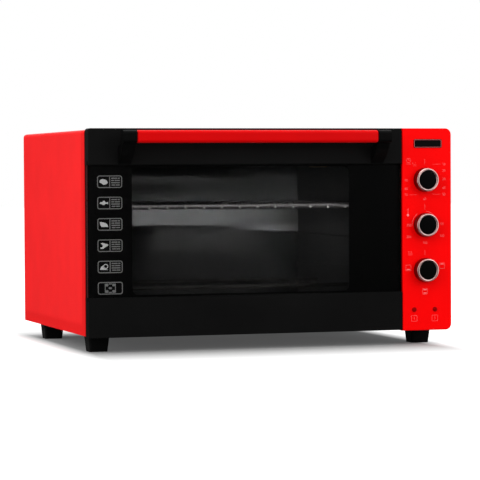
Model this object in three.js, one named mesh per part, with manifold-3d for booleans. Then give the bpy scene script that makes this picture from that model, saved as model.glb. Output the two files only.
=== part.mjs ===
// Mini oven: a bench-top electric oven with a bottom-hinged glass door, a full-width
// bar handle and a control column with three knobs. Millimetres, +X right, +Y into the
// oven, +Z up. The origin is under the middle of the oven, on the surface it stands on.

import * as THREE from 'three';
import { mergeVertices } from 'three/addons/utils/BufferGeometryUtils.js';
import Module from 'manifold-3d';

const wasm = await Module();
wasm.setup();

// Clearances shared by every piece
const seatGap = 0.3;
const overrun = 2;

// Casing
const ovenWidth = 590;
const casingHeight = 313;
const casingDepth = 427;
const casingSheet = 1;
const casingCorner = 6;
const sheet = 1;
const ventSlotWidth = 3.4;
const ventSlotLength = 38;
const ventSlotPitch = 11;
const sideVentInset = 64;
const sideVentDrop = 49;
const sideVentCount = 12;

// Feet
const footHeight = 25;
const footTopWidth = 33.5;
const footBottomWidth = 28;
const footCorner = 4;
const footLeftInset = 7.5;
const footRightInset = 22.5;
const footFrontInset = 10;
const footRearInset = 82;
const footPegRadius = 3;
const footPegRise = 4;
const footBoreRadius = 5;
const footBoreDepth = 14;

// Base plate and rear cover
const baseFlange = 12;
const baseSlotCount = 7;
const baseSlotLength = 60;
const baseSlotPitch = 44;
const baseSlotInset = 190;
const rearFlange = 12;
const rearSlotCount = 12;
const rearTopSlotInset = 40;
const rearSlotDrop = 34;
const rearColumnSlotInset = 20;
const rearColumnSlotRise = 104;
const rearRibRadius = 9;
const rearRibSet = 6;
const rearRibCount = 3;
const rearRibInset = 34;
const rearRibRightInset = 40;
const glandRadius = 8;
const glandFlangeRadius = 11;
const glandBoreRadius = 4;
const glandFlangeSheet = 3;
const glandEdge = 1;
const glandDepth = 16;
const glandInset = 40;
const glandRise = 42;

// Cavity
const cavityLeftInset = 26;
const cavityRightInset = 32.5;
const cavityFloorRise = 26;
const cavityTopInset = 25;
const cavityRearInset = 41.7;
const cavityCorner = 10;
const runnerReach = 7;
const runnerHeight = 10;
const runnerCorner = 4;
const runnerPitch = 50;
const runnerCount = 3;
const runnerFrontInset = 18;
const runnerRearInset = 10;
const rearBeadRise = 193;
const rearBeadHeight = 6;
const rearBeadReach = 1.5;
const rearBeadEdge = 1.9;
const rearBeadInset = 30;

// Wire rack
const rackRailHeight = 169.5;
const rackRailRadius = 2.5;
const rackWireRadius = 1.6;
const rackWirePitch = 29;
const rackSideGap = 3;
const rackFrontInset = 9.5;
const rackRearInset = 19.5;
const rackWireBite = 0.7;

// Heaters
const heaterRadius = 3.25;
const heaterBend = 42;
const heaterTail = 14;
const heaterFrontInset = 95;
const heaterSpan = 190;
const heaterLeftInset = 34;
const upperHeaterDrop = 15;
const lowerHeaterRise = 40;
const heaterHoleGap = 0.5;
const heaterPinRadius = 1.6;
const heaterPinLength = 5;
const heaterClipWidth = 12;
const heaterClipSheet = 1.5;
const heaterClipJaw = 4;

// Heat shield between the cavity and the controls
const shieldInset = 23;
const shieldTopDrop = 86.4;
const shieldFrontInset = 24;
const shieldFoot = 12;
const shieldPortRadius = 9;

// Door
const doorRise = 2;
const doorDrop = 1.7;
const doorCorner = 5;
const frontDepth = 22;
const mouldingWall = 2;
const mouldingEdge = 1.4;
const mouldingFoot = 1.4;
const topTrimHeight = 55.8;
const bottomTrimHeight = 60.7;
const bottomTrimShelf = 9;
const doorBack = 3;
const glassSheet = 4;
const glassSet = 1.5;
const glassGrip = 6;
const glassSideInset = 0.5;
const trimLip = 1.5;
const innerFrameBottom = 16.7;
const windowLeftInset = 62;
const windowRightInset = 78.5;
const windowBottomRise = 54;
const windowTopInset = 51;
const windowCorner = 8;
const innerGlassSheet = 3;
const innerGlassOverlap = 10;
const sealWidth = 5;
const sealThickness = 2.4;
const sealSet = 4;
const sealEdge = 0.6;

// Handle
const handleLeftInset = 47;
const handleRightInset = 30.5;
const handleEndWidth = 21;
const handleArmWidth = 20;
const handleReach = 36;
const handleDepth = 17;
const handleDrop = 3.4;
const handleHeight = 19.3;
const handleEdge = 5;
const handleBarEdge = 3;
const handleArmFoot = 26;
const handleArmFootDrop = 24.6;

// Door hinges
const hingeAxisRise = 5.5;
const hingeAxisSet = 8;
const hingeSideInset = 13;
const hingePinRadius = 2;
const hingePinHead = 3.2;
const hingePinHeadLength = 1.5;
const hingeNose = 4;
const hingeArmSheet = 2;
const hingeEarSheet = 1.5;
const hingeEarGap = 0.5;
const hingeEarDepth = 18;
const hingeTrayWidth = 12;
const hingeTrayDepth = 103;
const hingeLugHeight = 16;
const hingeTail = 38;
const hingeTailHeight = 5;
const hingeStrapBottom = 8;
const hingeStrapTop = 66;
const hingeFlangeWidth = 14;
const hingeSlotHeight = 48;
const hingeSlotGap = 0.8;
const springRadius = 3.2;
const springWireRadius = 0.7;
const springTurns = 7;
const springStepsPerTurn = 8;
const springLead = 7;
const springRise = 1.5;

// Control panel
const panelWidth = 82.5;
const panelJoint = 1;
const panelDrop = 3;
const panelCorner = 9.5;
const panelBossRadius = 4;
const panelBossInset = 9;
const panelBossRise = 48;
const panelBossDrop = 34;
const knobColumn = 45;
const knobTopRise = 234;
const knobPitch = 71;
const knobRingRadius = 19.1;
const knobRingFrontRadius = 18.3;
const knobRingWall = 4.6;
const knobRingLip = 1.4;
const knobRingLipShare = 1 / 3;
const knobReach = 15;
const knobFaceDome = 0.5;
const knobFaceFlatShare = 0.6;
const knobFaceSet = 1.2;
const knobPanelGap = 0.6;
const knobBossRadius = 6;
const knobWall = 2;
const shaftRadius = 3;
const shaftBodyDepth = 8;
const shaftKnobDepth = 9;
const shaftFlat = 0.8;
const bushRadius = 4.8;
const bushReach = 3;
const lampLensRadius = 3.6;
const lampStemRadius = 2.8;
const lampDome = 1.8;
const lampCrownShares = [0.7, 0.8];
const lampShoulderShare = 0.5;
const lampStemLength = 13;
const lampRise = 30;
const lampLeftInset = 19;
const lampPitch = 35;

// Control bodies
const timerPlate = 46;
const timerPlateSheet = 1.5;
const timerDrumRadius = 20;
const timerDrumDepth = 24;
const timerBellRadius = 17;
const timerBellDepth = 9;
const timerBellSheet = 1.5;
const timerBellFlatShares = [0.75, 0.6];
const timerBellRimShares = [0.5, 0.25];
const timerBellCrown = 2;
const timerNeckRadius = 5;
const thermostatWidth = 34;
const thermostatDepth = 24;
const thermostatEar = 46;
const thermostatEarHeight = 14;
const thermostatCapRadius = 11;
const thermostatCapDepth = 5;
const selectorRadius = 20;
const selectorDepth = 26;
const selectorTabCount = 6;
const selectorTabShare = 0.6;
const bladeWidth = 6;
const bladeSheet = 1;
const bladeLength = 8;
const bodyCorner = 3;

// Thermostat feeler
const feelerRadius = 3;
const feelerLength = 80;
const capillaryRadius = 1.1;
const feelerInset = 9;
const feelerDrop = 30;
const feelerDepth = 205;
const capillaryBend = 22;
const capillaryCorner = 5.5;
const capillaryHoleGap = 0.5;

// Wiring
const wireRadius = 1.1;
const wireBend = 12;
const wireLift = 74;
const wireRun = 34;

// Terminal block
const terminalWidth = 34;
const terminalDepth = 18;
const terminalHeight = 16;
const terminalPoles = 3;
const terminalBoreRadius = 2.6;
const terminalBoreDepth = 9;
const terminalRearInset = 62;

// Places that follow from the sizes above
const left = -ovenWidth / 2;
const right = ovenWidth / 2;
const casingBottom = footHeight;
const casingTop = footHeight + casingHeight;
const frameBack = sheet;
const front = -frontDepth;
const innerLeft = left + casingSheet + seatGap;
const innerRight = right - casingSheet - seatGap;
const innerTop = casingTop - casingSheet - seatGap;
const cavityLeft = left + cavityLeftInset;
const panelLeft = right - panelWidth;
const doorRight = panelLeft - panelJoint;
const cavityRight = doorRight - cavityRightInset;
const cavityBottom = casingBottom + cavityFloorRise;
const cavityTop = casingTop - cavityTopInset;
const cavityFront = frameBack + seatGap;
const cavityRear = casingDepth - cavityRearInset;
const mouthCentre = (cavityLeft + cavityRight) / 2;
const doorLeft = left;
const doorBottom = casingBottom - doorDrop;
const doorTop = casingTop + doorRise;
const bottomTrimTop = doorBottom + bottomTrimHeight;
const topTrimBottom = doorTop - topTrimHeight;
const glassFront = front + glassSet;
const glassBack = glassFront + glassSheet;
const trimBack = glassBack + seatGap + trimLip;
const grooveBlock = glassGrip + seatGap + mouldingWall;
const panFront = trimBack + seatGap;
const axisY = -hingeAxisSet;
const axisZ = casingBottom + hingeAxisRise;
const panelBottom = casingBottom - panelDrop;
const windowLeft = doorLeft + windowLeftInset;
const windowRight = doorRight - windowRightInset;
const windowBottom = casingBottom + windowBottomRise;
const windowTop = doorTop - windowTopInset;
const knobX = right - knobColumn;
const knobHeights = [0, 1, 2].map((row) => casingBottom + knobTopRise - row * knobPitch);
const bodyFront = frameBack + seatGap;
const rackRail = cavityBottom + rackRailHeight;
const shieldLeft = cavityRight + shieldInset;
const baseTop = casingBottom + sheet;
const barFront = front - handleReach;
const barTop = casingTop + doorRise - handleDrop;
const glandX = right - glandInset;
const glandZ = casingBottom + glandRise;
const glandRear = casingDepth + glandFlangeSheet + seatGap;
const upperHeaterZ = cavityTop - upperHeaterDrop;
const lowerHeaterZ = cavityBottom + lowerHeaterRise;
const heaterEnd = cavityRight + sheet + heaterTail;
const feelerX = cavityRight - feelerInset;
const feelerZ = cavityTop - feelerDrop;
const springZ = axisZ + springRise;

// Materials
const paint = (color, roughness, metalness) =>
  new THREE.MeshStandardMaterial({ color, roughness, metalness });
const redSteel = paint(0xe8131a, 0.35, 0.1);
const redPlastic = paint(0xf20d10, 0.3, 0);
const blackPlastic = paint(0x17171a, 0.45, 0);
const blackSteel = paint(0x1d1e20, 0.5, 0.3);
const blackGlass = new THREE.MeshStandardMaterial({
  color: 0x0b0c0d,
  roughness: 0.08,
  metalness: 0,
  transparent: true,
  opacity: 0.6,
});
const clearGlass = new THREE.MeshStandardMaterial({
  color: 0x9aa4a2,
  roughness: 0.05,
  metalness: 0,
  transparent: true,
  opacity: 0.3,
});
const zincSteel = paint(0xa9adb0, 0.45, 0.8);
const enamel = paint(0x34373a, 0.35, 0.2);
const chrome = paint(0xd7d9dc, 0.12, 1);
const heaterSteel = paint(0x6c6660, 0.4, 0.8);
const sealRubber = paint(0x2b2b2b, 0.8, 0);
const darkLens = paint(0x8a0408, 0.15, 0);
const ceramic = paint(0xd8d2c4, 0.6, 0);
const brass = paint(0xb5893c, 0.3, 0.9);
const rubber = paint(0x121212, 0.85, 0);

// Turning geometry into solids and back
function solid(geometry) {
  const bare = geometry.clone();
  bare.deleteAttribute('normal');
  bare.deleteAttribute('uv');
  const merged = mergeVertices(bare);
  return new wasm.Manifold(
    new wasm.Mesh({
      numProp: 3,
      vertProperties: new Float32Array(merged.attributes.position.array),
      triVerts: new Uint32Array(merged.index.array),
    }),
  );
}

const join = (...solids) => solids.reduce((whole, next) => whole.add(next));
const cut = (whole, ...cutters) => cutters.reduce((rest, next) => rest.subtract(next), whole);

const oven = new THREE.Group();
oven.name = 'mini_oven';

function addPiece(name, shape, material) {
  const data = shape.getMesh();
  const geometry = new THREE.BufferGeometry();
  geometry.setAttribute('position', new THREE.BufferAttribute(data.vertProperties, 3));
  geometry.setIndex(new THREE.BufferAttribute(data.triVerts, 1));
  geometry.computeVertexNormals();
  const piece = new THREE.Mesh(geometry, material);
  piece.name = name;
  oven.add(piece);
}

// Simple solids placed by their limits
function box(x0, x1, y0, y1, z0, z1) {
  const geometry = new THREE.BoxGeometry(x1 - x0, y1 - y0, z1 - z0);
  return solid(geometry.translate((x0 + x1) / 2, (y0 + y1) / 2, (z0 + z1) / 2));
}

function rodY(x, z, radius, y0, y1, sides = 12) {
  const geometry = new THREE.CylinderGeometry(radius, radius, y1 - y0, sides);
  return solid(geometry.translate(x, (y0 + y1) / 2, z));
}

function rodX(y, z, radius, x0, x1, sides = 12) {
  const geometry = new THREE.CylinderGeometry(radius, radius, x1 - x0, sides);
  geometry.rotateZ(Math.PI / 2);
  return solid(geometry.translate((x0 + x1) / 2, y, z));
}

function rodZ(x, y, radius, z0, z1, sides = 12) {
  const geometry = new THREE.CylinderGeometry(radius, radius, z1 - z0, sides);
  geometry.rotateX(Math.PI / 2);
  return solid(geometry.translate(x, y, (z0 + z1) / 2));
}

// A rod with round ends along X, for pressed ribs
function capsuleX(x, y, z, radius, length) {
  const geometry = new THREE.CapsuleGeometry(radius, length - 2 * radius, 2, 8);
  geometry.rotateZ(Math.PI / 2);
  return solid(geometry.translate(x, y, z));
}

// Outlines
function outline(x0, y0, x1, y1, radii) {
  const [lowLeft, lowRight, highRight, highLeft] = radii;
  const shape = new THREE.Shape();
  const quarter = Math.PI / 2;
  const corner = (x, y, radius, start) => {
    if (radius > 0) {
      shape.absarc(x, y, radius, start, start + quarter, false);
    } else {
      shape.lineTo(x, y);
    }
  };
  shape.moveTo(x0 + lowLeft, y0);
  corner(x1 - lowRight, y0 + lowRight, lowRight, -quarter);
  corner(x1 - highRight, y1 - highRight, highRight, 0);
  corner(x0 + highLeft, y1 - highLeft, highLeft, quarter);
  corner(x0 + lowLeft, y0 + lowLeft, lowLeft, 2 * quarter);
  return shape;
}

const rounded = (x0, y0, x1, y1, radius) =>
  outline(x0, y0, x1, y1, [radius, radius, radius, radius]);

// Extrusions: an X-Z outline along Y, a Y-Z outline along X, an X-Y outline along Z
function plateY(shape, y0, y1, segments = 4) {
  const options = { depth: y1 - y0, bevelEnabled: false, curveSegments: segments };
  const geometry = new THREE.ExtrudeGeometry(shape, options);
  geometry.rotateX(Math.PI / 2);
  return solid(geometry.translate(0, y1, 0));
}

function barX(shape, x0, x1, segments = 4) {
  const options = { depth: x1 - x0, bevelEnabled: false, curveSegments: segments };
  const geometry = new THREE.ExtrudeGeometry(shape, options);
  const turn = new THREE.Matrix4().makeBasis(
    new THREE.Vector3(0, 1, 0),
    new THREE.Vector3(0, 0, 1),
    new THREE.Vector3(1, 0, 0),
  );
  geometry.applyMatrix4(turn);
  return solid(geometry.translate(x0, 0, 0));
}

function slabZ(shape, z0, z1, segments = 4) {
  const options = { depth: z1 - z0, bevelEnabled: false, curveSegments: segments };
  const geometry = new THREE.ExtrudeGeometry(shape, options);
  return solid(geometry.translate(0, 0, z0));
}

// A moulding with a softened front edge: the outline runs from the front face to the back
function moulding(shape, yFront, yBack, edge) {
  const options = {
    depth: yBack - yFront,
    bevelEnabled: true,
    bevelThickness: edge,
    bevelSize: edge,
    bevelOffset: -edge,
    bevelSegments: 2,
    curveSegments: 3,
  };
  const geometry = new THREE.ExtrudeGeometry(shape, options);
  geometry.rotateX(Math.PI / 2);
  geometry.translate(0, yBack + edge, 0);
  geometry.computeBoundingBox();
  const { min, max } = geometry.boundingBox;
  const behind = box(
    min.x - overrun, max.x + overrun, yBack, max.y + overrun, min.z - overrun, max.z + overrun,
  );
  return cut(solid(geometry), behind);
}

// A body of revolution about Y: profile points are [radius, y]
function turnedY(x, z, profile, sides) {
  const points = profile.map(([radius, y]) => new THREE.Vector2(radius, y));
  if (THREE.ShapeUtils.area(points) < 0) {
    points.reverse();
  }
  const geometry = new THREE.LatheGeometry(points, sides);
  return solid(geometry.translate(x, 0, z));
}

// A round tube along straight runs joined by bends
function bentPath(points, bend) {
  const path = new THREE.CurvePath();
  let from = points[0];
  for (let i = 1; i < points.length - 1; i += 1) {
    const corner = points[i];
    const inward = corner.clone().sub(points[i - 1]).normalize();
    const outward = points[i + 1].clone().sub(corner).normalize();
    const start = corner.clone().addScaledVector(inward, -bend);
    const end = corner.clone().addScaledVector(outward, bend);
    path.add(new THREE.LineCurve3(from, start));
    path.add(new THREE.QuadraticBezierCurve3(start, corner, end));
    from = end;
  }
  path.add(new THREE.LineCurve3(from, points[points.length - 1]));
  return path;
}

function tube(path, radius, sides, steps) {
  const ring = Array.from({ length: sides }, (_, i) => {
    const angle = (2 * Math.PI * i) / sides;
    return new THREE.Vector2(radius * Math.cos(angle), radius * Math.sin(angle));
  });
  const options = { steps, bevelEnabled: false, extrudePath: path };
  return solid(new THREE.ExtrudeGeometry(new THREE.Shape(ring), options));
}

// Casing: one sheet bent over both sides and the top, with vents beside the controls
function outerCasing() {
  const skin = outline(left, casingBottom, right, casingTop, [0, 0, casingCorner, casingCorner]);
  const innerCorner = casingCorner - casingSheet;
  const hollow = outline(
    left + casingSheet,
    casingBottom - overrun,
    right - casingSheet,
    casingTop - casingSheet,
    [0, 0, innerCorner, innerCorner],
  );
  const wrap = cut(
    plateY(skin, 0, casingDepth),
    plateY(hollow, -overrun, casingDepth + overrun),
  );
  const slots = Array.from({ length: sideVentCount }, (_, i) => {
    const y = sideVentInset + i * ventSlotPitch;
    const high = casingTop - sideVentDrop;
    const shape = rounded(
      y, high - ventSlotLength, y + ventSlotWidth, high, ventSlotWidth / 2,
    );
    return barX(shape, right - casingSheet - overrun, right + overrun, 1);
  });
  return cut(wrap, ...slots);
}

// Flat front frame behind the door and the panel
function frontFrame() {
  const plate = plateY(
    outline(
      innerLeft,
      casingBottom + seatGap,
      innerRight,
      innerTop,
      [0, 0, casingCorner - casingSheet, casingCorner - casingSheet],
    ),
    0,
    frameBack,
  );
  const mouth = plateY(
    rounded(cavityLeft, cavityBottom, cavityRight, cavityTop, cavityCorner),
    -overrun,
    frameBack + overrun,
  );
  const hingeCuts = hingePlaces.flatMap((x) => {
    const earHalf = hingeArmSheet / 2 + hingeEarGap + hingeEarSheet + hingeSlotGap;
    const tailHalf = hingeArmSheet / 2 + hingeSlotGap;
    const earTop = axisZ + hingeNose + hingeSlotGap;
    return [
      box(x - earHalf, x + earHalf, -overrun, frameBack + overrun, casingBottom - overrun, earTop),
      box(x - tailHalf, x + tailHalf, -overrun, frameBack + overrun, axisZ, axisZ + hingeSlotHeight),
    ];
  });
  const bushHoles = knobHeights.map((z) =>
    rodY(knobX, z, bushRadius + seatGap, -overrun, frameBack + overrun),
  );
  return cut(plate, mouth, ...hingeCuts, ...bushHoles);
}

// Cavity liner: an open box with shelf runners pressed into its sides and a bead into its back
function ovenCavity() {
  const outer = plateY(
    rounded(
      cavityLeft - sheet,
      cavityBottom - sheet,
      cavityRight + sheet,
      cavityTop + sheet,
      cavityCorner + sheet,
    ),
    cavityFront,
    cavityRear + sheet,
  );
  const inner = plateY(
    rounded(cavityLeft, cavityBottom, cavityRight, cavityTop, cavityCorner),
    cavityFront - overrun,
    cavityRear,
  );
  const shell = cut(outer, inner);
  const y0 = cavityFront + runnerFrontInset;
  const y1 = cavityRear - runnerRearInset;
  const topRunner = rackRail - rackRailRadius - seatGap;
  const ridges = [];
  const hollows = [];
  for (let level = 0; level < runnerCount; level += 1) {
    const z1 = topRunner - level * runnerPitch;
    const z0 = z1 - runnerHeight;
    const bead = rounded(y0, z0, y1, z1, runnerCorner);
    const inside = rounded(y0 + sheet, z0 + sheet, y1 - sheet, z1 - sheet, runnerCorner - sheet);
    ridges.push(barX(bead, cavityLeft - sheet / 2, cavityLeft + runnerReach, 2));
    ridges.push(barX(bead, cavityRight - runnerReach, cavityRight + sheet / 2, 2));
    const depth = runnerReach - sheet;
    hollows.push(barX(inside, cavityLeft - sheet - overrun, cavityLeft + depth, 2));
    hollows.push(barX(inside, cavityRight - depth, cavityRight + sheet + overrun, 2));
  }
  const beadLeft = cavityLeft + rearBeadInset;
  const beadRight = cavityRight - rearBeadInset;
  const beadLow = cavityBottom + rearBeadRise;
  const beadHigh = beadLow + rearBeadHeight;
  const rearBead = rounded(beadLeft, beadLow, beadRight, beadHigh, rearBeadEdge + sheet);
  const behindBead = rounded(
    beadLeft + sheet, beadLow + sheet, beadRight - sheet, beadHigh - sheet, rearBeadEdge,
  );
  ridges.push(plateY(rearBead, cavityRear - rearBeadReach, cavityRear + sheet / 2, 3));
  hollows.push(
    plateY(behindBead, cavityRear + sheet - rearBeadReach, cavityRear + sheet + overrun, 3),
  );
  const pressed = cut(join(shell, ...ridges), ...hollows);
  const heaterHoles = [upperHeaterZ, lowerHeaterZ].flatMap((z) =>
    heaterRuns.map((y) =>
      rodX(y, z, heaterRadius + heaterHoleGap, cavityRight - overrun, cavityRight + 2 * overrun),
    ),
  );
  const feelerHole = rodX(
    feelerDepth,
    feelerZ,
    capillaryRadius + capillaryHoleGap,
    cavityRight - overrun,
    cavityRight + 2 * overrun,
  );
  return cut(pressed, ...heaterHoles, feelerHole);
}

// Heaters: a U of steel-sheathed tube whose ends leave through the right wall
const heaterRuns = [cavityFront + heaterFrontInset, cavityFront + heaterFrontInset + heaterSpan];

function heater(z) {
  const far = cavityLeft + heaterLeftInset;
  const path = bentPath(
    [
      new THREE.Vector3(heaterEnd, heaterRuns[0], z),
      new THREE.Vector3(far, heaterRuns[0], z),
      new THREE.Vector3(far, heaterRuns[1], z),
      new THREE.Vector3(heaterEnd, heaterRuns[1], z),
    ],
    heaterBend,
  );
  const pins = heaterRuns.map((y) =>
    rodX(y, z, heaterPinRadius, heaterEnd - heaterPinLength, heaterEnd + heaterPinLength, 8),
  );
  return join(tube(path, heaterRadius, 8, 30), ...pins);
}

// A clip stands on the floor or hangs from the roof and cradles the heater's far loop
function heaterClip(z, wall) {
  const x = cavityLeft + heaterLeftInset;
  const y = (heaterRuns[0] + heaterRuns[1]) / 2;
  const upward = Math.sign(z - wall);
  const foot = wall + upward * seatGap;
  const jaw = heaterRadius + seatGap + heaterClipJaw;
  const low = Math.min(foot, z + upward * jaw);
  const high = Math.max(foot, z + upward * jaw);
  const jawHalf = heaterRadius + seatGap + heaterClipSheet;
  const half = heaterClipWidth / 2;
  const block = box(x - jawHalf, x + jawHalf, y - half, y + half, low, high);
  const bed = box(
    x - heaterRadius - seatGap,
    x + heaterRadius + seatGap,
    y - half - overrun,
    y + half + overrun,
    Math.min(z - upward * (heaterRadius + seatGap), z + upward * (jaw + overrun)),
    Math.max(z - upward * (heaterRadius + seatGap), z + upward * (jaw + overrun)),
  );
  const spread = join(
    block,
    box(
      x - jawHalf - heaterClipWidth,
      x + jawHalf,
      y - half,
      y + half,
      Math.min(foot, foot + upward * heaterClipSheet),
      Math.max(foot, foot + upward * heaterClipSheet),
    ),
  );
  return cut(spread, bed);
}

// Base plate with turned-up sides, cooling slots and holes for the feet's pegs
function basePlate() {
  const rear = casingDepth - sheet - seatGap;
  const floor = box(innerLeft, innerRight, cavityFront, rear, casingBottom, baseTop);
  const flangeFront = cavityFront + hingeTrayWidth;
  const sides = [
    box(innerLeft, innerLeft + sheet, flangeFront, rear, casingBottom, casingBottom + baseFlange),
    box(innerRight - sheet, innerRight, flangeFront, rear, casingBottom, casingBottom + baseFlange),
  ];
  const slotStart = mouthCentre - ((baseSlotCount - 1) * baseSlotPitch) / 2;
  const slots = Array.from({ length: baseSlotCount }, (_, i) => {
    const x = slotStart + i * baseSlotPitch;
    const shape = rounded(
      x - ventSlotWidth,
      baseSlotInset,
      x + ventSlotWidth,
      baseSlotInset + baseSlotLength,
      ventSlotWidth,
    );
    return slabZ(shape, casingBottom - overrun, baseTop + overrun, 1);
  });
  const pegHoles = footPlaces.map(({ x, y }) =>
    rodZ(x, y, footPegRadius + seatGap, casingBottom - overrun, baseTop + overrun, 8),
  );
  return cut(join(floor, ...sides), ...slots, ...pegHoles);
}

// Rear cover: a sheet with pressed stiffening ribs, vent rows and the cord inlet's hole
function rearCover() {
  const inside = casingDepth - sheet;
  const sheetPlate = plateY(
    outline(
      innerLeft,
      casingBottom,
      innerRight,
      innerTop,
      [0, 0, casingCorner - casingSheet, casingCorner - casingSheet],
    ),
    inside,
    casingDepth,
  );
  const lip = box(
    innerLeft + casingCorner,
    innerRight - casingCorner,
    casingDepth - rearFlange,
    casingDepth,
    innerTop - sheet,
    innerTop,
  );
  const ribLeft = left + rearRibInset;
  const ribLength = cavityRight - rearRibRightInset - ribLeft;
  const ribX = ribLeft + ribLength / 2;
  const ribs = [];
  const ribHollows = [];
  for (let row = 1; row <= rearRibCount; row += 1) {
    const z = casingBottom + (casingHeight * row) / (rearRibCount + 1);
    ribs.push(capsuleX(ribX, inside - rearRibSet, z, rearRibRadius, ribLength));
    const hollow = rearRibRadius - sheet;
    const hollowLength = ribLength - 2 * sheet;
    ribHollows.push(capsuleX(ribX, inside - rearRibSet, z, hollow, hollowLength));
  }
  const inward = box(
    left, right, inside - rearRibSet - 2 * rearRibRadius, inside, casingBottom, casingTop,
  );
  const bossed = cut(join(sheetPlate, ...ribs.map((rib) => cut(rib, inward))), ...ribHollows);
  const slotTop = innerTop - rearSlotDrop + ventSlotLength / 2;
  const slots = Array.from({ length: rearSlotCount }, (_, i) => {
    const x = left + rearTopSlotInset + i * 2 * ventSlotPitch;
    const shape = rounded(
      x, slotTop - ventSlotLength / 2, x + ventSlotWidth, slotTop, ventSlotWidth / 2,
    );
    return plateY(shape, inside - overrun, casingDepth + overrun, 1);
  });
  const column = Array.from({ length: rearSlotCount / 2 }, (_, i) => {
    const x = shieldLeft + rearColumnSlotInset;
    const z = casingBottom + rearColumnSlotRise + i * ventSlotPitch;
    const shape = rounded(x, z, x + ventSlotLength, z + ventSlotWidth, ventSlotWidth / 2);
    return plateY(shape, inside - overrun, casingDepth + overrun, 1);
  });
  const inlet = rodY(
    glandX, glandZ, glandRadius + seatGap, inside - overrun, casingDepth + overrun, 16,
  );
  return cut(join(bossed, lip), ...slots, ...column, inlet);
}

// Bush that lines the inlet in the rear cover
function cableGland() {
  const flangeFront = casingDepth + seatGap;
  const bodyFrontY = glandRear - glandDepth;
  return turnedY(
    glandX,
    glandZ,
    [
      [glandBoreRadius, bodyFrontY],
      [glandRadius, bodyFrontY],
      [glandRadius, flangeFront],
      [glandFlangeRadius, flangeFront],
      [glandFlangeRadius - glandEdge, glandRear],
      [glandBoreRadius, glandRear],
      [glandBoreRadius, bodyFrontY],
    ],
    16,
  );
}

// Tapered foot with a screw bore from below and a peg through the base plate
const footHalf = footTopWidth / 2;
const footPlaces = [
  ['foot_front_left', left + footLeftInset + footHalf, footFrontInset + footHalf],
  ['foot_front_right', right - footRightInset - footHalf, footFrontInset + footHalf],
  ['foot_rear_left', left + footLeftInset + footHalf, casingDepth - footRearInset - footHalf],
  ['foot_rear_right', right - footRightInset - footHalf, casingDepth - footRearInset - footHalf],
].map(([name, x, y]) => ({ name, x, y }));

function foot({ x, y }) {
  const height = footHeight - seatGap;
  const square = rounded(-footHalf, -footHalf, footHalf, footHalf, footCorner);
  const options = { depth: height, bevelEnabled: false, curveSegments: 2 };
  const geometry = new THREE.ExtrudeGeometry(square, options);
  const places = geometry.attributes.position;
  const taper = footBottomWidth / footTopWidth;
  for (let i = 0; i < places.count; i += 1) {
    const share = places.getZ(i) / height;
    const scale = taper + (1 - taper) * share;
    places.setX(i, places.getX(i) * scale);
    places.setY(i, places.getY(i) * scale);
  }
  const block = solid(geometry.translate(x, y, 0));
  const peg = rodZ(x, y, footPegRadius, height - overrun, baseTop + footPegRise, 8);
  return cut(join(block, peg), rodZ(x, y, footBoreRadius, -overrun, footBoreDepth, 12));
}

// Heat shield: an upright sheet with a foot on the base plate
function heatShield() {
  const low = baseTop + seatGap;
  const y0 = cavityFront + shieldFrontInset;
  const y1 = cavityRear;
  const wall = box(shieldLeft, shieldLeft + sheet, y0, y1, low, innerTop - shieldTopDrop);
  const shelf = box(shieldLeft, shieldLeft + shieldFoot, y0, y1, low, low + sheet);
  const ports = heaterRuns.map((y) =>
    rodX(y, lowerHeaterZ, shieldPortRadius, shieldLeft - overrun, shieldLeft + 2 * overrun, 16),
  );
  return cut(join(wall, shelf), ...ports);
}

// Door seal: a flat gasket round the cavity's mouth
function doorSeal() {
  const ring = rounded(
    cavityLeft - sealSet - sealWidth,
    cavityBottom - sealSet - sealWidth,
    cavityRight + sealSet + sealWidth,
    cavityTop + sealSet + sealWidth,
    cavityCorner + sealSet + sealWidth,
  );
  ring.holes.push(
    rounded(
      cavityLeft - sealSet,
      cavityBottom - sealSet,
      cavityRight + sealSet,
      cavityTop + sealSet,
      cavityCorner + sealSet,
    ),
  );
  const options = {
    depth: sealThickness - 2 * sealEdge,
    bevelEnabled: true,
    bevelThickness: sealEdge,
    bevelSize: sealEdge,
    bevelOffset: -sealEdge,
    bevelSegments: 1,
    curveSegments: 2,
  };
  const geometry = new THREE.ExtrudeGeometry(ring, options);
  geometry.rotateX(Math.PI / 2);
  return solid(geometry.translate(0, -seatGap - sealEdge, 0));
}

// Groove that the outer glass slides into, cut through the whole width of the door
function glassGroove(z0, z1) {
  return box(
    doorLeft - overrun, doorRight + overrun, glassFront - seatGap, glassBack + seatGap, z0, z1,
  );
}

// Top trim: a moulding closed at the front, top and ends and open behind
function doorTopTrim() {
  const face = outline(
    doorLeft, topTrimBottom, doorRight, doorTop, [0, 0, 0, doorCorner],
  );
  const block = moulding(face, front, -doorBack, mouldingEdge);
  const pocket = box(
    doorLeft + mouldingWall,
    doorRight - mouldingWall,
    front + mouldingWall,
    overrun,
    topTrimBottom + grooveBlock,
    doorTop - mouldingWall,
  );
  const relief = box(
    doorLeft + mouldingWall,
    doorRight - mouldingWall,
    trimBack,
    overrun,
    topTrimBottom - overrun,
    topTrimBottom + grooveBlock + overrun,
  );
  const groove = glassGroove(topTrimBottom - overrun, topTrimBottom + glassGrip + seatGap);
  return cut(block, pocket, relief, groove);
}

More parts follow.
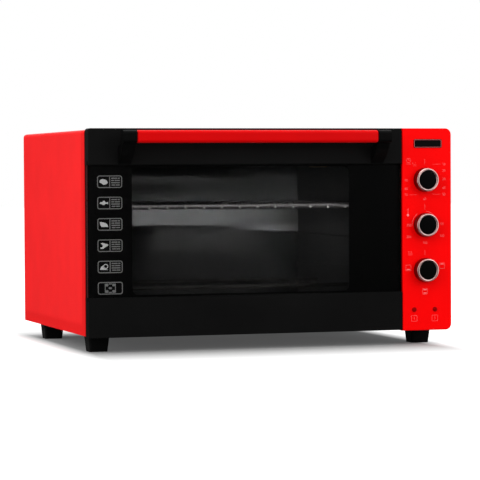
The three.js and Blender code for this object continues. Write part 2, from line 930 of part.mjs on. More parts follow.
// Bottom trim: its lower back edge is an arc about the hinge axis, so that it clears
// the frame as the door opens
function doorBottomTrim() {
  const radius = axisZ - doorBottom;
  const section = new THREE.Shape();
  const backOffset = -doorBack - axisY;
  const backAngle = -Math.acos(backOffset / radius);
  section.moveTo(front, doorBottom + mouldingFoot);
  section.absarc(
    front + mouldingFoot, doorBottom + mouldingFoot, mouldingFoot, Math.PI, 1.5 * Math.PI, false,
  );
  section.absarc(axisY, axisZ, radius, -Math.PI / 2, backAngle, false);
  section.lineTo(-doorBack, bottomTrimTop);
  section.lineTo(front, bottomTrimTop);
  const block = barX(section, doorLeft, doorRight);
  const pocket = box(
    doorLeft + mouldingWall,
    doorRight - mouldingWall,
    front + mouldingWall,
    overrun,
    doorBottom + mouldingWall,
    bottomTrimTop - grooveBlock,
  );
  const underside = box(
    doorLeft + mouldingWall,
    doorRight - mouldingWall,
    front + bottomTrimShelf,
    overrun,
    doorBottom - overrun,
    doorBottom + mouldingWall + overrun,
  );
  const relief = box(
    doorLeft + mouldingWall,
    doorRight - mouldingWall,
    trimBack,
    overrun,
    bottomTrimTop - grooveBlock - overrun,
    bottomTrimTop + overrun,
  );
  const groove = glassGroove(bottomTrimTop - glassGrip - seatGap, bottomTrimTop + overrun);
  return cut(block, pocket, underside, relief, groove);
}

function doorGlass() {
  return box(
    doorLeft + glassSideInset,
    doorRight - glassSideInset,
    glassFront,
    glassBack,
    bottomTrimTop - glassGrip,
    topTrimBottom + glassGrip,
  );
}

// Inner frame: a pressed pan, open towards the glass and at the bottom, with a window
function doorInnerFrame() {
  const x0 = doorLeft + mouldingWall + seatGap;
  const x1 = doorRight - mouldingWall - seatGap;
  const z0 = doorBottom + innerFrameBottom;
  const z1 = doorTop - mouldingWall - seatGap;
  const block = plateY(outline(x0, z0, x1, z1, [0, 0, doorCorner, doorCorner]), panFront, -doorBack);
  const hollow = plateY(
    outline(x0 + sheet, z0 - overrun, x1 - sheet, z1 - sheet, [0, 0, doorCorner, doorCorner]),
    panFront - overrun,
    -doorBack - sheet,
  );
  const windowCut = plateY(
    rounded(windowLeft, windowBottom, windowRight, windowTop, windowCorner),
    panFront - overrun,
    overrun,
  );
  return cut(block, hollow, windowCut);
}

function doorInnerGlass() {
  const back = -doorBack - sheet - seatGap;
  return plateY(
    rounded(
      windowLeft - innerGlassOverlap,
      windowBottom - innerGlassOverlap,
      windowRight + innerGlassOverlap,
      windowTop + innerGlassOverlap,
      windowCorner,
    ),
    back - innerGlassSheet,
    back,
  );
}

// Handle: a bar between two end blocks whose arms slope back to the top trim
function handleBar() {
  const x0 = left + handleLeftInset + handleEndWidth + seatGap;
  const x1 = doorRight - handleRightInset - handleEndWidth - seatGap;
  const section = rounded(
    barFront, barTop - handleHeight, barFront + handleDepth, barTop, handleEdge,
  );
  const options = {
    depth: x1 - x0 - 2 * handleBarEdge,
    bevelEnabled: true,
    bevelThickness: handleBarEdge,
    bevelSize: handleBarEdge,
    bevelOffset: -handleBarEdge,
    bevelSegments: 3,
    curveSegments: 4,
  };
  const geometry = new THREE.ExtrudeGeometry(section, options);
  const turn = new THREE.Matrix4().makeBasis(
    new THREE.Vector3(0, 1, 0),
    new THREE.Vector3(0, 0, 1),
    new THREE.Vector3(1, 0, 0),
  );
  geometry.applyMatrix4(turn);
  return solid(geometry.translate(x0 + handleBarEdge, 0, 0));
}

function handleArm(x) {
  const low = barTop - handleHeight;
  const back = barFront + handleDepth;
  const face = front - seatGap;
  const block = barX(
    rounded(barFront, low, back, barTop, handleEdge), x, x + handleEndWidth,
  );
  const footTop = barTop - handleArmFootDrop;
  const footBottom = footTop - handleArmFoot;
  const arm = new THREE.Shape();
  arm.moveTo(barFront + handleEdge, low + handleEdge);
  arm.quadraticCurveTo(back - handleDepth / 2, low - handleArmFoot / 2, face, footBottom);
  arm.lineTo(face, footTop);
  arm.quadraticCurveTo(back, footTop, back - handleEdge, barTop - handleEdge);
  return join(block, barX(arm, x, x + handleArmWidth, 5));
}

// Door hinges: the arm on the door turns on a pin between two ears of a fixed bracket
const hingePlaces = [cavityLeft - hingeSideInset, cavityRight + hingeSideInset];

function hingeBracket(x) {
  const low = baseTop + seatGap;
  const ears = [-1, 1].map((side) => {
    const inside = hingeArmSheet / 2 + hingeEarGap;
    const near = x + side * inside;
    const far = x + side * (inside + hingeEarSheet);
    const ear = new THREE.Shape();
    ear.moveTo(cavityFront + hingeEarDepth, low);
    ear.lineTo(cavityFront + hingeEarDepth, axisZ + hingeNose);
    ear.lineTo(axisY, axisZ + hingeNose);
    ear.absarc(axisY, axisZ, hingeNose, Math.PI / 2, 1.5 * Math.PI, false);
    return barX(ear, Math.min(near, far), Math.max(near, far));
  });
  const half = hingeTrayWidth / 2;
  const tray = box(
    x - half, x + half, cavityFront + seatGap, cavityFront + hingeTrayDepth, low, low + sheet,
  );
  const lugFront = cavityFront + hingeTrayDepth - hingeEarSheet;
  const lug = box(x - half, x + half, lugFront, lugFront + hingeEarSheet, low, low + hingeLugHeight);
  const bore = rodX(axisY, axisZ, hingePinRadius + seatGap, x - half, x + half, 12);
  return cut(join(...ears, tray, lug), bore);
}

function hingePin(x) {
  const half = hingeArmSheet / 2 + hingeEarGap + hingeEarSheet;
  const shank = rodX(axisY, axisZ, hingePinRadius, x - half - seatGap, x + half + seatGap, 12);
  const head = rodX(
    axisY, axisZ, hingePinHead, x + half + seatGap, x + half + seatGap + hingePinHeadLength, 12,
  );
  const tail = rodX(
    axisY, axisZ, hingePinHead, x - half - seatGap - hingePinHeadLength, x - half - seatGap, 12,
  );
  return join(shank, head, tail);
}

function hingeArm(x, inward) {
  const half = hingeArmSheet / 2;
  const back = -doorBack - sheet - seatGap;
  const outlineShape = new THREE.Shape();
  const tailLow = axisZ - hingeTailHeight / 2;
  const tailHigh = axisZ + hingeTailHeight / 2;
  outlineShape.moveTo(axisY + hingeTail, tailLow);
  outlineShape.lineTo(axisY + hingeTail, tailHigh);
  outlineShape.lineTo(axisY + hingeNose, tailHigh);
  outlineShape.lineTo(back, axisZ + hingeStrapBottom);
  outlineShape.lineTo(back, axisZ + hingeStrapTop);
  outlineShape.lineTo(panFront + sheet, axisZ + hingeStrapTop);
  outlineShape.lineTo(axisY - hingeNose, axisZ);
  outlineShape.absarc(axisY, axisZ, hingeNose, Math.PI, 1.5 * Math.PI, false);
  outlineShape.lineTo(axisY + hingeNose, tailLow);
  const plate = barX(outlineShape, x - half, x + half);
  const bore = rodX(
    axisY, axisZ, hingePinRadius + seatGap, x - hingeTrayWidth, x + hingeTrayWidth, 12,
  );
  const flangeFar = x + inward * hingeFlangeWidth;
  const flange = box(
    Math.min(x, flangeFar),
    Math.max(x, flangeFar),
    back - hingeArmSheet,
    back,
    doorBottom + innerFrameBottom + seatGap,
    axisZ + hingeStrapTop,
  );
  return join(cut(plate, bore), flange);
}

// Extension spring from the arm's tail to the bracket's lug
class SpringLine extends THREE.Curve {
  constructor(x, start, end) {
    super();
    this.x = x;
    this.start = start;
    this.end = end;
  }

  getPoint(t, target = new THREE.Vector3()) {
    const length = this.end - this.start;
    const along = t * length;
    const fromEnd = Math.min(along, length - along);
    const rise = THREE.MathUtils.smoothstep(fromEnd, springLead / 2, springLead);
    const coil = THREE.MathUtils.clamp((along - springLead / 2) / (length - springLead), 0, 1);
    const angle = 2 * Math.PI * springTurns * coil;
    return target.set(
      this.x + rise * springRadius * Math.cos(angle),
      this.start + along,
      springZ + rise * springRadius * Math.sin(angle),
    );
  }
}

function springLine(x) {
  const start = axisY + hingeTail + seatGap;
  const end = cavityFront + hingeTrayDepth - hingeEarSheet - seatGap;
  return new SpringLine(x, start, end);
}

function hingeSpring(x) {
  return tube(springLine(x), springWireRadius, 5, springStepsPerTurn * springTurns);
}

// Least gap between the spring's turns, measured on points along its wire
function leastSpringGap() {
  const steps = 3 * springStepsPerTurn * springTurns;
  const points = springLine(0).getPoints(steps);
  const halfTurn = steps / springTurns / 2;
  let least = Infinity;
  points.forEach((point, i) => {
    points.slice(i + Math.ceil(halfTurn)).forEach((other) => {
      least = Math.min(least, point.distanceTo(other));
    });
  });
  return least - 2 * springWireRadius;
}
console.log(`least gap between the turns of a hinge spring: ${leastSpringGap().toFixed(2)} mm`);

// Control panel: a shell over the front frame's right side
function controlPanel() {
  const panelTop = doorTop;
  const face = outline(
    panelLeft, panelBottom, right, panelTop, [0, panelCorner, panelCorner, 0],
  );
  const block = moulding(face, front, -seatGap, mouldingEdge);
  const hollow = plateY(
    outline(
      panelLeft + mouldingWall,
      panelBottom + mouldingWall,
      right - mouldingWall,
      panelTop - mouldingWall,
      [0, panelCorner - mouldingWall, panelCorner - mouldingWall, 0],
    ),
    front + mouldingWall,
    overrun,
  );
  const bosses = [
    [panelLeft + mouldingWall + panelBossInset, panelBottom + panelBossRise],
    [right - mouldingWall - panelBossInset, panelBottom + panelBossRise],
    [panelLeft + mouldingWall + panelBossInset, panelTop - panelBossDrop],
    [right - mouldingWall - panelBossInset, panelTop - panelBossDrop],
  ].map(([x, z]) => rodY(x, z, panelBossRadius, front + mouldingWall / 2, -seatGap, 10));
  const shaftHoles = knobHeights.map((z) =>
    rodY(knobX, z, shaftRadius + 2 * seatGap, front - overrun, front + mouldingWall + overrun),
  );
  const lampHoles = lampPlaces.map(({ x }) =>
    rodY(x, lampZ, lampStemRadius + seatGap, front - overrun, front + mouldingWall + overrun),
  );
  return cut(join(cut(block, hollow), ...bosses), ...shaftHoles, ...lampHoles);
}

// Indicator lamp: a domed lens whose stem passes through the panel
const lampZ = casingBottom + lampRise;
const lampPlaces = [
  { name: 'power_lamp', x: panelLeft + lampLeftInset },
  { name: 'heat_lamp', x: panelLeft + lampLeftInset + lampPitch },
];

function lamp(x) {
  const flangeBack = front - seatGap;
  return turnedY(
    x,
    lampZ,
    [
      [0, flangeBack - lampDome],
      [lampLensRadius * lampCrownShares[0], flangeBack - lampDome * lampCrownShares[1]],
      [lampLensRadius, flangeBack - lampDome * lampShoulderShare],
      [lampLensRadius, flangeBack],
      [lampStemRadius, flangeBack],
      [lampStemRadius, flangeBack + lampStemLength],
      [0, flangeBack + lampStemLength],
    ],
    16,
  );
}

// Knob: a black face in a bright ring, on a flatted shaft that enters its control body
const knobBack = front - knobPanelGap;
const knobFront = front - knobReach;

function knobRing(z) {
  const inner = knobRingRadius - knobRingWall;
  return turnedY(
    knobX,
    z,
    [
      [inner, knobBack],
      [inner, knobFront + knobRingLip],
      [inner + knobRingLip / 2, knobFront + knobRingLip * knobRingLipShare],
      [(inner + knobRingFrontRadius) / 2, knobFront],
      [knobRingFrontRadius - knobRingLip / 2, knobFront + knobRingLip * knobRingLipShare],
      [knobRingFrontRadius, knobFront + knobRingLip],
      [knobRingRadius, knobBack],
      [inner, knobBack],
    ],
    24,
  );
}

function knobCap(z) {
  const radius = knobRingRadius - knobRingWall - seatGap;
  const face = knobFront + knobFaceSet;
  const cup = turnedY(
    knobX,
    z,
    [
      [0, face],
      [radius * knobFaceFlatShare, face + knobFaceDome * knobRingLipShare],
      [radius, face + knobFaceDome],
      [radius, knobBack],
      [radius - knobWall, knobBack],
      [radius - knobWall, face + knobFaceDome + knobWall],
      [knobBossRadius, face + knobFaceDome + knobWall],
      [knobBossRadius, knobBack],
      [0, knobBack],
    ],
    24,
  );
  const bore = rodY(knobX, z, shaftRadius + seatGap, knobBack - shaftKnobDepth, knobBack + overrun);
  return cut(cup, bore);
}

function knobShaft(z) {
  const start = knobBack - shaftKnobDepth + seatGap;
  const rod = rodY(knobX, z, shaftRadius, start, bodyFront + shaftBodyDepth);
  const flat = box(
    knobX - shaftRadius,
    knobX + shaftRadius,
    start - overrun,
    knobBack,
    z + shaftRadius - shaftFlat,
    z + shaftRadius + overrun,
  );
  return cut(rod, flat);
}

// What each control body has: a threaded bush through the frame and a bore for the shaft
function withBush(body, z) {
  const bush = rodY(knobX, z, bushRadius, frameBack - bushReach, bodyFront + overrun);
  const bore = rodY(
    knobX, z, shaftRadius + seatGap, -bushReach - overrun, bodyFront + shaftBodyDepth + seatGap,
  );
  return cut(join(body, bush), bore);
}

function blade(x, z, y, upright) {
  const halfWidth = bladeWidth / 2;
  const halfSheet = bladeSheet / 2;
  const dx = upright ? halfSheet : halfWidth;
  const dz = upright ? halfWidth : halfSheet;
  return box(x - dx, x + dx, y - overrun, y + bladeLength, z - dz, z + dz);
}

// Clockwork timer: fixing plate, drum and the bell behind it
function timerBody(z) {
  const half = timerPlate / 2;
  const plate = plateY(
    rounded(knobX - half, z - half, knobX + half, z + half, bodyCorner),
    bodyFront,
    bodyFront + timerPlateSheet,
  );
  const drumBack = bodyFront + timerDrumDepth;
  const drum = rodY(knobX, z, timerDrumRadius, bodyFront + timerPlateSheet / 2, drumBack, 18);
  const neck = rodY(
    knobX, z, timerNeckRadius, drumBack - overrun, drumBack + timerBellDepth, 12,
  );
  const bell = turnedY(
    knobX,
    z,
    [
      [0, drumBack + timerBellDepth],
      [timerBellRadius * timerBellFlatShares[0], drumBack + timerBellDepth],
      [timerBellRadius, drumBack + timerBellDepth * timerBellRimShares[0]],
      [timerBellRadius, drumBack + timerBellDepth * timerBellRimShares[1]],
      [timerBellRadius - timerBellSheet, drumBack + timerBellDepth * timerBellRimShares[1]],
      [timerBellRadius * timerBellFlatShares[1], drumBack + timerBellDepth - timerBellCrown],
      [0, drumBack + timerBellDepth - timerBellCrown],
    ],
    16,
  );
  return withBush(join(plate, drum, neck, bell), z);
}

// Thermostat: a ceramic block with two ears, a pressure capsule and two blades
function thermostatBody(z) {
  const half = thermostatWidth / 2;
  const back = bodyFront + thermostatDepth;
  const block = plateY(
    rounded(knobX - half, z - half, knobX + half, z + half, bodyCorner), bodyFront, back,
  );
  const ears = box(
    knobX - thermostatEar / 2,
    knobX + thermostatEar / 2,
    bodyFront,
    bodyFront + timerPlateSheet,
    z - thermostatEarHeight / 2,
    z + thermostatEarHeight / 2,
  );
  const capsuleDisc = rodY(
    knobX, z, thermostatCapRadius, back - overrun, back + thermostatCapDepth, 20,
  );
  const blades = [-1, 1].map((side) =>
    blade(knobX + side * (half - bodyCorner), z - half / 2, back, true),
  );
  return withBush(join(block, ears, capsuleDisc, ...blades), z);
}

// Selector switch: an eight-sided body with a ring of blades behind
function selectorBody(z) {
  const back = bodyFront + selectorDepth;
  const drum = rodY(knobX, z, selectorRadius, bodyFront, back, 8);
  const blades = Array.from({ length: selectorTabCount }, (_, i) => {
    const angle = (2 * Math.PI * i) / selectorTabCount;
    const reach = selectorRadius * selectorTabShare;
    return blade(knobX + reach * Math.cos(angle), z + reach * Math.sin(angle), back, true);
  });
  return withBush(join(drum, ...blades), z);
}

// Thermostat feeler: a capillary from the pressure capsule through the cavity wall
function thermostatFeeler(z) {
  const start = bodyFront + thermostatDepth + thermostatCapDepth + seatGap;
  const path = bentPath(
    [
      new THREE.Vector3(knobX, start, z),
      new THREE.Vector3(knobX, feelerDepth - capillaryBend, z),
      new THREE.Vector3(knobX, feelerDepth, feelerZ),
      new THREE.Vector3(feelerX, feelerDepth, feelerZ),
      new THREE.Vector3(feelerX, feelerDepth + feelerLength / 2, feelerZ),
    ],
    capillaryCorner,
  );
  const line = tube(path, capillaryRadius, 5, 26);
  const bulbFront = feelerDepth + capillaryBend / 2;
  const bulb = rodY(feelerX, feelerZ, feelerRadius, bulbFront, bulbFront + feelerLength, 10);
  return join(line, bulb);
}

// Terminal block where a mains lead is joined to the oven's own wiring
const terminalY = casingDepth - terminalRearInset - terminalDepth / 2;
const terminalTop = baseTop + seatGap + terminalHeight;
const poleX = Array.from(
  { length: terminalPoles },
  (_, i) => glandX + (terminalWidth * (i + 0.5)) / terminalPoles - terminalWidth / 2,
);

function terminalBlock() {
  const shape = rounded(
    glandX - terminalWidth / 2,
    terminalY - terminalDepth / 2,
    glandX + terminalWidth / 2,
    terminalY + terminalDepth / 2,
    bodyCorner,
  );
  const bores = poleX.map((x) =>
    rodZ(
      x, terminalY, terminalBoreRadius, terminalTop - terminalBoreDepth, terminalTop + overrun, 8,
    ),
  );
  return cut(slabZ(shape, baseTop + seatGap, terminalTop, 2), ...bores);
}

// Wiring inside the control compartment: each wire is a list of corners
const corner = (x, y, z) => new THREE.Vector3(x, y, z);
const bladeEnd = bodyFront + thermostatDepth + bladeLength + seatGap;
const selectorEnd = bodyFront + selectorDepth + bladeLength + seatGap;
const poleSeat = terminalTop - terminalBoreDepth + seatGap;
const heaterSeat = heaterEnd + heaterPinLength + seatGap;

function wires(thermostatZ, selectorZ) {
  const bladeX = thermostatWidth / 2 - bodyCorner;
  const bladeZ = thermostatZ - thermostatWidth / 4;
  const reach = selectorRadius * selectorTabShare;
  const sine = Math.sin(Math.PI / 3);
  const loomY = bladeEnd + wireRun;
  return {
    wire_supply_thermostat: [
      corner(poleX[0], terminalY, poleSeat),
      corner(poleX[0], terminalY, terminalTop + wireLift),
      corner(knobX - bladeX, loomY + wireRun, terminalTop + wireLift),
      corner(knobX - bladeX, loomY + wireRun, bladeZ),
      corner(knobX - bladeX, bladeEnd, bladeZ),
    ],
    wire_thermostat_selector: [
      corner(knobX + bladeX, bladeEnd, bladeZ),
      corner(knobX + bladeX, loomY, bladeZ),
      corner(knobX + reach, loomY, selectorZ),
      corner(knobX + reach, selectorEnd, selectorZ),
    ],
    wire_selector_lower_heater: [
      corner(knobX - reach, selectorEnd, selectorZ),
      corner(knobX - reach, heaterRuns[0], selectorZ),
      corner(knobX - reach, heaterRuns[0], lowerHeaterZ),
      corner(heaterSeat, heaterRuns[0], lowerHeaterZ),
    ],
    wire_selector_upper_heater: [
      corner(knobX - reach / 2, selectorEnd, selectorZ + reach * sine),
      corner(knobX - reach / 2, loomY - wireBend, selectorZ + reach * sine),
      corner(shieldLeft + 2 * wireBend, loomY - wireBend, thermostatZ),
      corner(shieldLeft + 2 * wireBend, heaterRuns[0], upperHeaterZ),
      corner(heaterSeat, heaterRuns[0], upperHeaterZ),
    ],
    wire_return_lower_heater: [
      corner(poleX[1], terminalY, poleSeat),
      corner(poleX[1], terminalY, lowerHeaterZ),
      corner(poleX[1], heaterRuns[1], lowerHeaterZ),
      corner(heaterSeat, heaterRuns[1], lowerHeaterZ),
    ],
    wire_return_upper_heater: [
      corner(poleX[2], terminalY, poleSeat),
      corner(poleX[2], terminalY, upperHeaterZ - wireLift),
      corner(shieldLeft + 2 * wireBend, heaterRuns[1], upperHeaterZ),
      corner(heaterSeat, heaterRuns[1], upperHeaterZ),
    ],
  };
}

const wire = (corners) => tube(bentPath(corners, wireBend), wireRadius, 5, 16);

// Wire rack: a rail frame with wires from front to back under it
function wireRack() {
  const x0 = cavityLeft + rackSideGap + rackRailRadius;
  const x1 = cavityRight - rackSideGap - rackRailRadius;
  const y0 = cavityFront + rackFrontInset + rackRailRadius;
  const y1 = cavityRear - rackRearInset - rackRailRadius;
  const rails = [
    rodX(y0, rackRail, rackRailRadius, x0 - rackRailRadius, x1 + rackRailRadius, 8),
    rodX(y1, rackRail, rackRailRadius, x0 - rackRailRadius, x1 + rackRailRadius, 8),
    rodY(x0, rackRail, rackRailRadius, y0, y1, 8),
    rodY(x1, rackRail, rackRailRadius, y0, y1, 8),
  ];
  const wireZ = rackRail - rackRailRadius - rackWireRadius + rackWireBite;
  const count = Math.floor((x1 - x0 - rackWirePitch) / rackWirePitch) + 1;
  const first = (x0 + x1) / 2 - ((count - 1) * rackWirePitch) / 2;
  const wires = Array.from({ length: count }, (_, i) => {
    const x = first + i * rackWirePitch;
    return rodY(x, wireZ, rackWireRadius, y0 - rackRailRadius, y1 + rackRailRadius, 6);
  });
  return join(...rails, ...wires);
}

// Assembly
addPiece('outer_casing', outerCasing(), redSteel);
addPiece('front_frame', frontFrame(), blackSteel);
addPiece('oven_cavity', ovenCavity(), enamel);
addPiece('base_plate', basePlate(), zincSteel);
addPiece('rear_cover', rearCover(), blackSteel);
addPiece('cable_gland', cableGland(), rubber);
addPiece('heat_shield', heatShield(), zincSteel);
addPiece('door_seal', doorSeal(), sealRubber);
for (const place of footPlaces) {
  addPiece(place.name, foot(place), blackPlastic);
}
addPiece('upper_heater', heater(upperHeaterZ), heaterSteel);
addPiece('lower_heater', heater(lowerHeaterZ), heaterSteel);
addPiece('upper_heater_clip', heaterClip(upperHeaterZ, cavityTop), zincSteel);
addPiece('lower_heater_clip', heaterClip(lowerHeaterZ, cavityBottom), zincSteel);

addPiece('control_panel', controlPanel(), redPlastic);
for (const place of lampPlaces) {
  addPiece(place.name, lamp(place.x), darkLens);
}
const [timerZ, thermostatZ, selectorZ] = knobHeights;
addPiece('timer_body', timerBody(timerZ), zincSteel);
addPiece('thermostat_body', thermostatBody(thermostatZ), ceramic);
addPiece('thermostat_feeler', thermostatFeeler(thermostatZ), brass);
addPiece('selector_body', selectorBody(selectorZ), ceramic);
addPiece('terminal_block', terminalBlock(), ceramic);
for (const [name, corners] of Object.entries(wires(thermostatZ, selectorZ))) {
  addPiece(name, wire(corners), rubber);
}

const knobNames = ['timer', 'thermostat', 'selector'];
knobNames.forEach((name, row) => {
  addPiece(`${name}_knob`, knobCap(knobHeights[row]), blackPlastic);
  addPiece(`${name}_knob_ring`, knobRing(knobHeights[row]), chrome);
  addPiece(`${name}_shaft`, knobShaft(knobHeights[row]), brass);
});

addPiece('door_top_trim', doorTopTrim(), blackPlastic);
addPiece('door_bottom_trim', doorBottomTrim(), blackPlastic);
addPiece('door_glass', doorGlass(), blackGlass);
addPiece('door_inner_frame', doorInnerFrame(), blackSteel);
addPiece('door_inner_glass', doorInnerGlass(), clearGlass);
addPiece('handle_bar', handleBar(), redPlastic);
addPiece('handle_arm_left', handleArm(left + handleLeftInset), blackPlastic);
addPiece(
  'handle_arm_right', handleArm(doorRight - handleRightInset - handleEndWidth), blackPlastic,
);

['left', 'right'].forEach((side, index) => {
  const x = hingePlaces[index];
  const inward = Math.sign(mouthCentre - x);
  addPiece(`hinge_bracket_${side}`, hingeBracket(x), zincSteel);
  addPiece(`hinge_pin_${side}`, hingePin(x), zincSteel);
  addPiece(`hinge_arm_${side}`, hingeArm(x, inward), zincSteel);
  addPiece(`hinge_spring_${side}`, hingeSpring(x), zincSteel);
});

addPiece('wire_rack', wireRack(), chrome);

// The frontmost point is the handle bar and the rearmost is the gland's rim
oven.position.y = -(barFront + glandRear) / 2;
oven.updateMatrixWorld(true);

export default oven;
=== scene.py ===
"""Mini oven: finishes, printed marks, small fasteners, studio and camera for the CAD model."""
import math
from itertools import product

import bmesh
import bpy
from bpy.props import FloatProperty, FloatVectorProperty, PointerProperty
from mathutils import Matrix, Vector


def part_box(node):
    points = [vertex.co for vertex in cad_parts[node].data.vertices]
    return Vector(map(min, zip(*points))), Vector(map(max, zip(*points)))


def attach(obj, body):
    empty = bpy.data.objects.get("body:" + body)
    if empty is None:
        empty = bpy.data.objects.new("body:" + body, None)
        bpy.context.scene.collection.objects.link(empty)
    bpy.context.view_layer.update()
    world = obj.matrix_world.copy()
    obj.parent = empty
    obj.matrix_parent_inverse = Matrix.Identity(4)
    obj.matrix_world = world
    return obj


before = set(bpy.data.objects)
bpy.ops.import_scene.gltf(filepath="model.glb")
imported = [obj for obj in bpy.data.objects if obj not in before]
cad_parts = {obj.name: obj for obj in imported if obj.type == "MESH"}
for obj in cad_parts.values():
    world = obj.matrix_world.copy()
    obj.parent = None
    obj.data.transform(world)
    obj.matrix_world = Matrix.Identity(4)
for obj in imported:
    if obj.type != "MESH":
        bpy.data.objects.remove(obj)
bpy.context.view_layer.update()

bl_info = {
    "name": "Mini oven",
    "version": (1, 0, 0),
    "blender": (4, 5, 0),
    "location": "View3D > Sidebar > Mini oven",
    "description": "Dresses the mini oven and sets up its studio",
    "category": "Object",
}

MM = 0.001
KNOBS = ("timer", "thermostat", "selector")
LAMPS = ("power_lamp", "heat_lamp")
WIRES = (
    "wire_supply_thermostat", "wire_thermostat_selector", "wire_selector_lower_heater",
    "wire_selector_upper_heater", "wire_return_lower_heater", "wire_return_upper_heater",
)


def paint(code):
    """Linear red, green and blue of a colour written as six hexadecimal digits."""
    shares = (int(code[start:start + 2], 16) / 255 for start in (0, 2, 4))
    return tuple(s / 12.92 if s <= 0.04045 else ((s + 0.055) / 1.055) ** 2.4 for s in shares)


def colour_setting(name, description, code):
    return FloatVectorProperty(name=name, description=description, subtype="COLOR",
                               size=3, min=0, max=1, default=paint(code))


def length_setting(name, description, millimetres):
    return FloatProperty(name=name, description=description, unit="LENGTH",
                         min=0, precision=5, default=millimetres * MM)


def power_setting(name, description, watts):
    return FloatProperty(name=name, description=description, unit="POWER", min=0, default=watts)


def angle_setting(name, description, degrees):
    return FloatProperty(name=name, description=description, subtype="ANGLE",
                         default=math.radians(degrees))


def level_setting(name, description, level):
    return FloatProperty(name=name, description=description, min=0, default=level)


class OvenFinishes(bpy.types.PropertyGroup):
    """Colours that a user would change"""
    casing_red: colour_setting("Casing red", "Enamelled steel of the casing", "FB2628")
    # Painted shade, not a colour of the steel: the casing's front and bottom edges are drawn in
    # this deeper red
    hem_red: colour_setting("Hem red", "Casing's front and bottom edges, deeper red as painted shade",
                            "EE1A1C")
    panel_red: colour_setting("Panel red", "Moulded control panel", "FA0203")
    bar_red: colour_setting("Bar red", "Moulded handle bar", "CB0305")
    trim_black: colour_setting("Trim black", "Moulded door trims", "0F0F0F")
    # Painted shade: the arms are of the trims' moulding, drawn darker because their faces turn
    # down, away from the light
    arm_black: colour_setting("Arm black", "Moulded handle arms", "060606")
    knob_black: colour_setting("Knob black", "Moulded knob faces", "050505")
    border_black: colour_setting("Border black", "Print behind the door glass", "050505")
    mark_pink: colour_setting("Mark pink", "Thin printed marks on the red panel", "FF8686")
    picture_grey: colour_setting("Picture grey", "Frames and lines of the cooking pictures",
                                 "9A9A9A")
    picture_white: colour_setting("Picture white", "Food in the cooking pictures", "FAFAFA")
    glass_tint: colour_setting("Glass tint", "Light that one face of the door glass lets through",
                               "EDEDED")
    inner_tint: colour_setting("Inner glass tint",
                               "Light that one face of the inner glass lets through", "E0E0E0")
    lens_red: colour_setting("Lens red", "Indicator lenses", "8C0202")
    enamel_grey: colour_setting("Enamel grey", "Cavity liner", "6A6A6A")
    zinc_grey: colour_setting("Zinc grey", "Plated inner sheet metal", "B4B8BC")
    chrome_grey: colour_setting("Chrome grey", "Wire rack", "E4DFE0")
    ring_silver: colour_setting("Ring silver", "Turned front of the knob rings", "E0BAB6")
    # The rings' dark side is partly the knob's dark flank and partly painted shade beside the knob
    ring_dark: colour_setting("Ring dark", "Dark side of the knob rings", "6A5A5C")


class OvenSizes(bpy.types.PropertyGroup):
    """Sizes of the printed marks and small pieces"""
    window_width: length_setting("Window width", "Clear part of the door glass", 350)
    window_height: length_setting("Window height", "Clear part of the door glass", 194)
    mark_depth: length_setting("Mark depth", "Thickness of the print", 0.08)
    mark_stroke: length_setting("Mark stroke", "Width of a printed line", 0.22)
    digit_height: length_setting("Digit height", "Height of the printed numbers", 3.4)
    badge_width: length_setting("Badge width", "Blank badge at the top of the panel", 47)
    badge_height: length_setting("Badge height", "Blank badge at the top of the panel", 13.6)
    badge_depth: length_setting("Badge depth", "How far the badge stands off the panel", 0.8)
    picture_width: length_setting("Picture width", "Frame of one cooking picture", 37.5)
    picture_height: length_setting("Picture height", "Frame of one cooking picture", 17.4)
    picture_pitch: length_setting("Picture pitch", "From one picture's top to the next", 32.2)
    picture_stroke: length_setting("Picture stroke", "Width of a picture's frame line", 1.3)
    cover_screw: length_setting("Cover screw", "Radius of a rear cover screw's head", 3.6)
    door_screw: length_setting("Door screw", "Radius of an inner frame screw's head", 2.8)
    weld_radius: length_setting("Weld radius", "Weld bead under the rack's front rail", 1.9)
    weld_pitch: length_setting("Weld pitch", "From one weld bead to the next", 29)


class OvenStudio(bpy.types.PropertyGroup):
    """Camera and lamps"""
    camera_place: FloatVectorProperty(name="Camera place", description="Where the camera stands",
                                      subtype="TRANSLATION", unit="LENGTH", size=3, precision=5,
                                      default=(-1.13431, -3.61234, 0.27376))
    camera_yaw: angle_setting("Camera yaw", "Turn from straight back to the right", 17.584)
    camera_pitch: angle_setting("Camera pitch", "Tilt below level", 1.688)
    camera_roll: angle_setting("Camera roll", "Turn about the line of sight", 0.306)
    camera_lens: FloatProperty(name="Camera lens", description="Focal length on a 36 mm sensor",
                               unit="CAMERA", default=174.53)
    sky_strength: level_setting("Sky strength", "Soft light from all round", 1.05)
    top_lamp: power_setting("Top lamp", "Power of the lamp overhead", 36)
    left_lamp: power_setting("Left lamp", "Power of the lamp at the front left", 28)
    right_lamp: power_setting("Right lamp", "Power of the lamp at the front right", 20)
    wall_fill: power_setting("Wall fill", "Power of the soft light on the right wall", 0.075)
    rail_lamp: power_setting("Rail lamp", "Power of the lamp along the rack's front rail", 0.008)
    patch_light: level_setting("Patch light", "Watts to a square metre in the bright patch", 5)
    soft_light: level_setting("Soft light", "Watts to a square metre round that patch", 0.85)


# Finishes


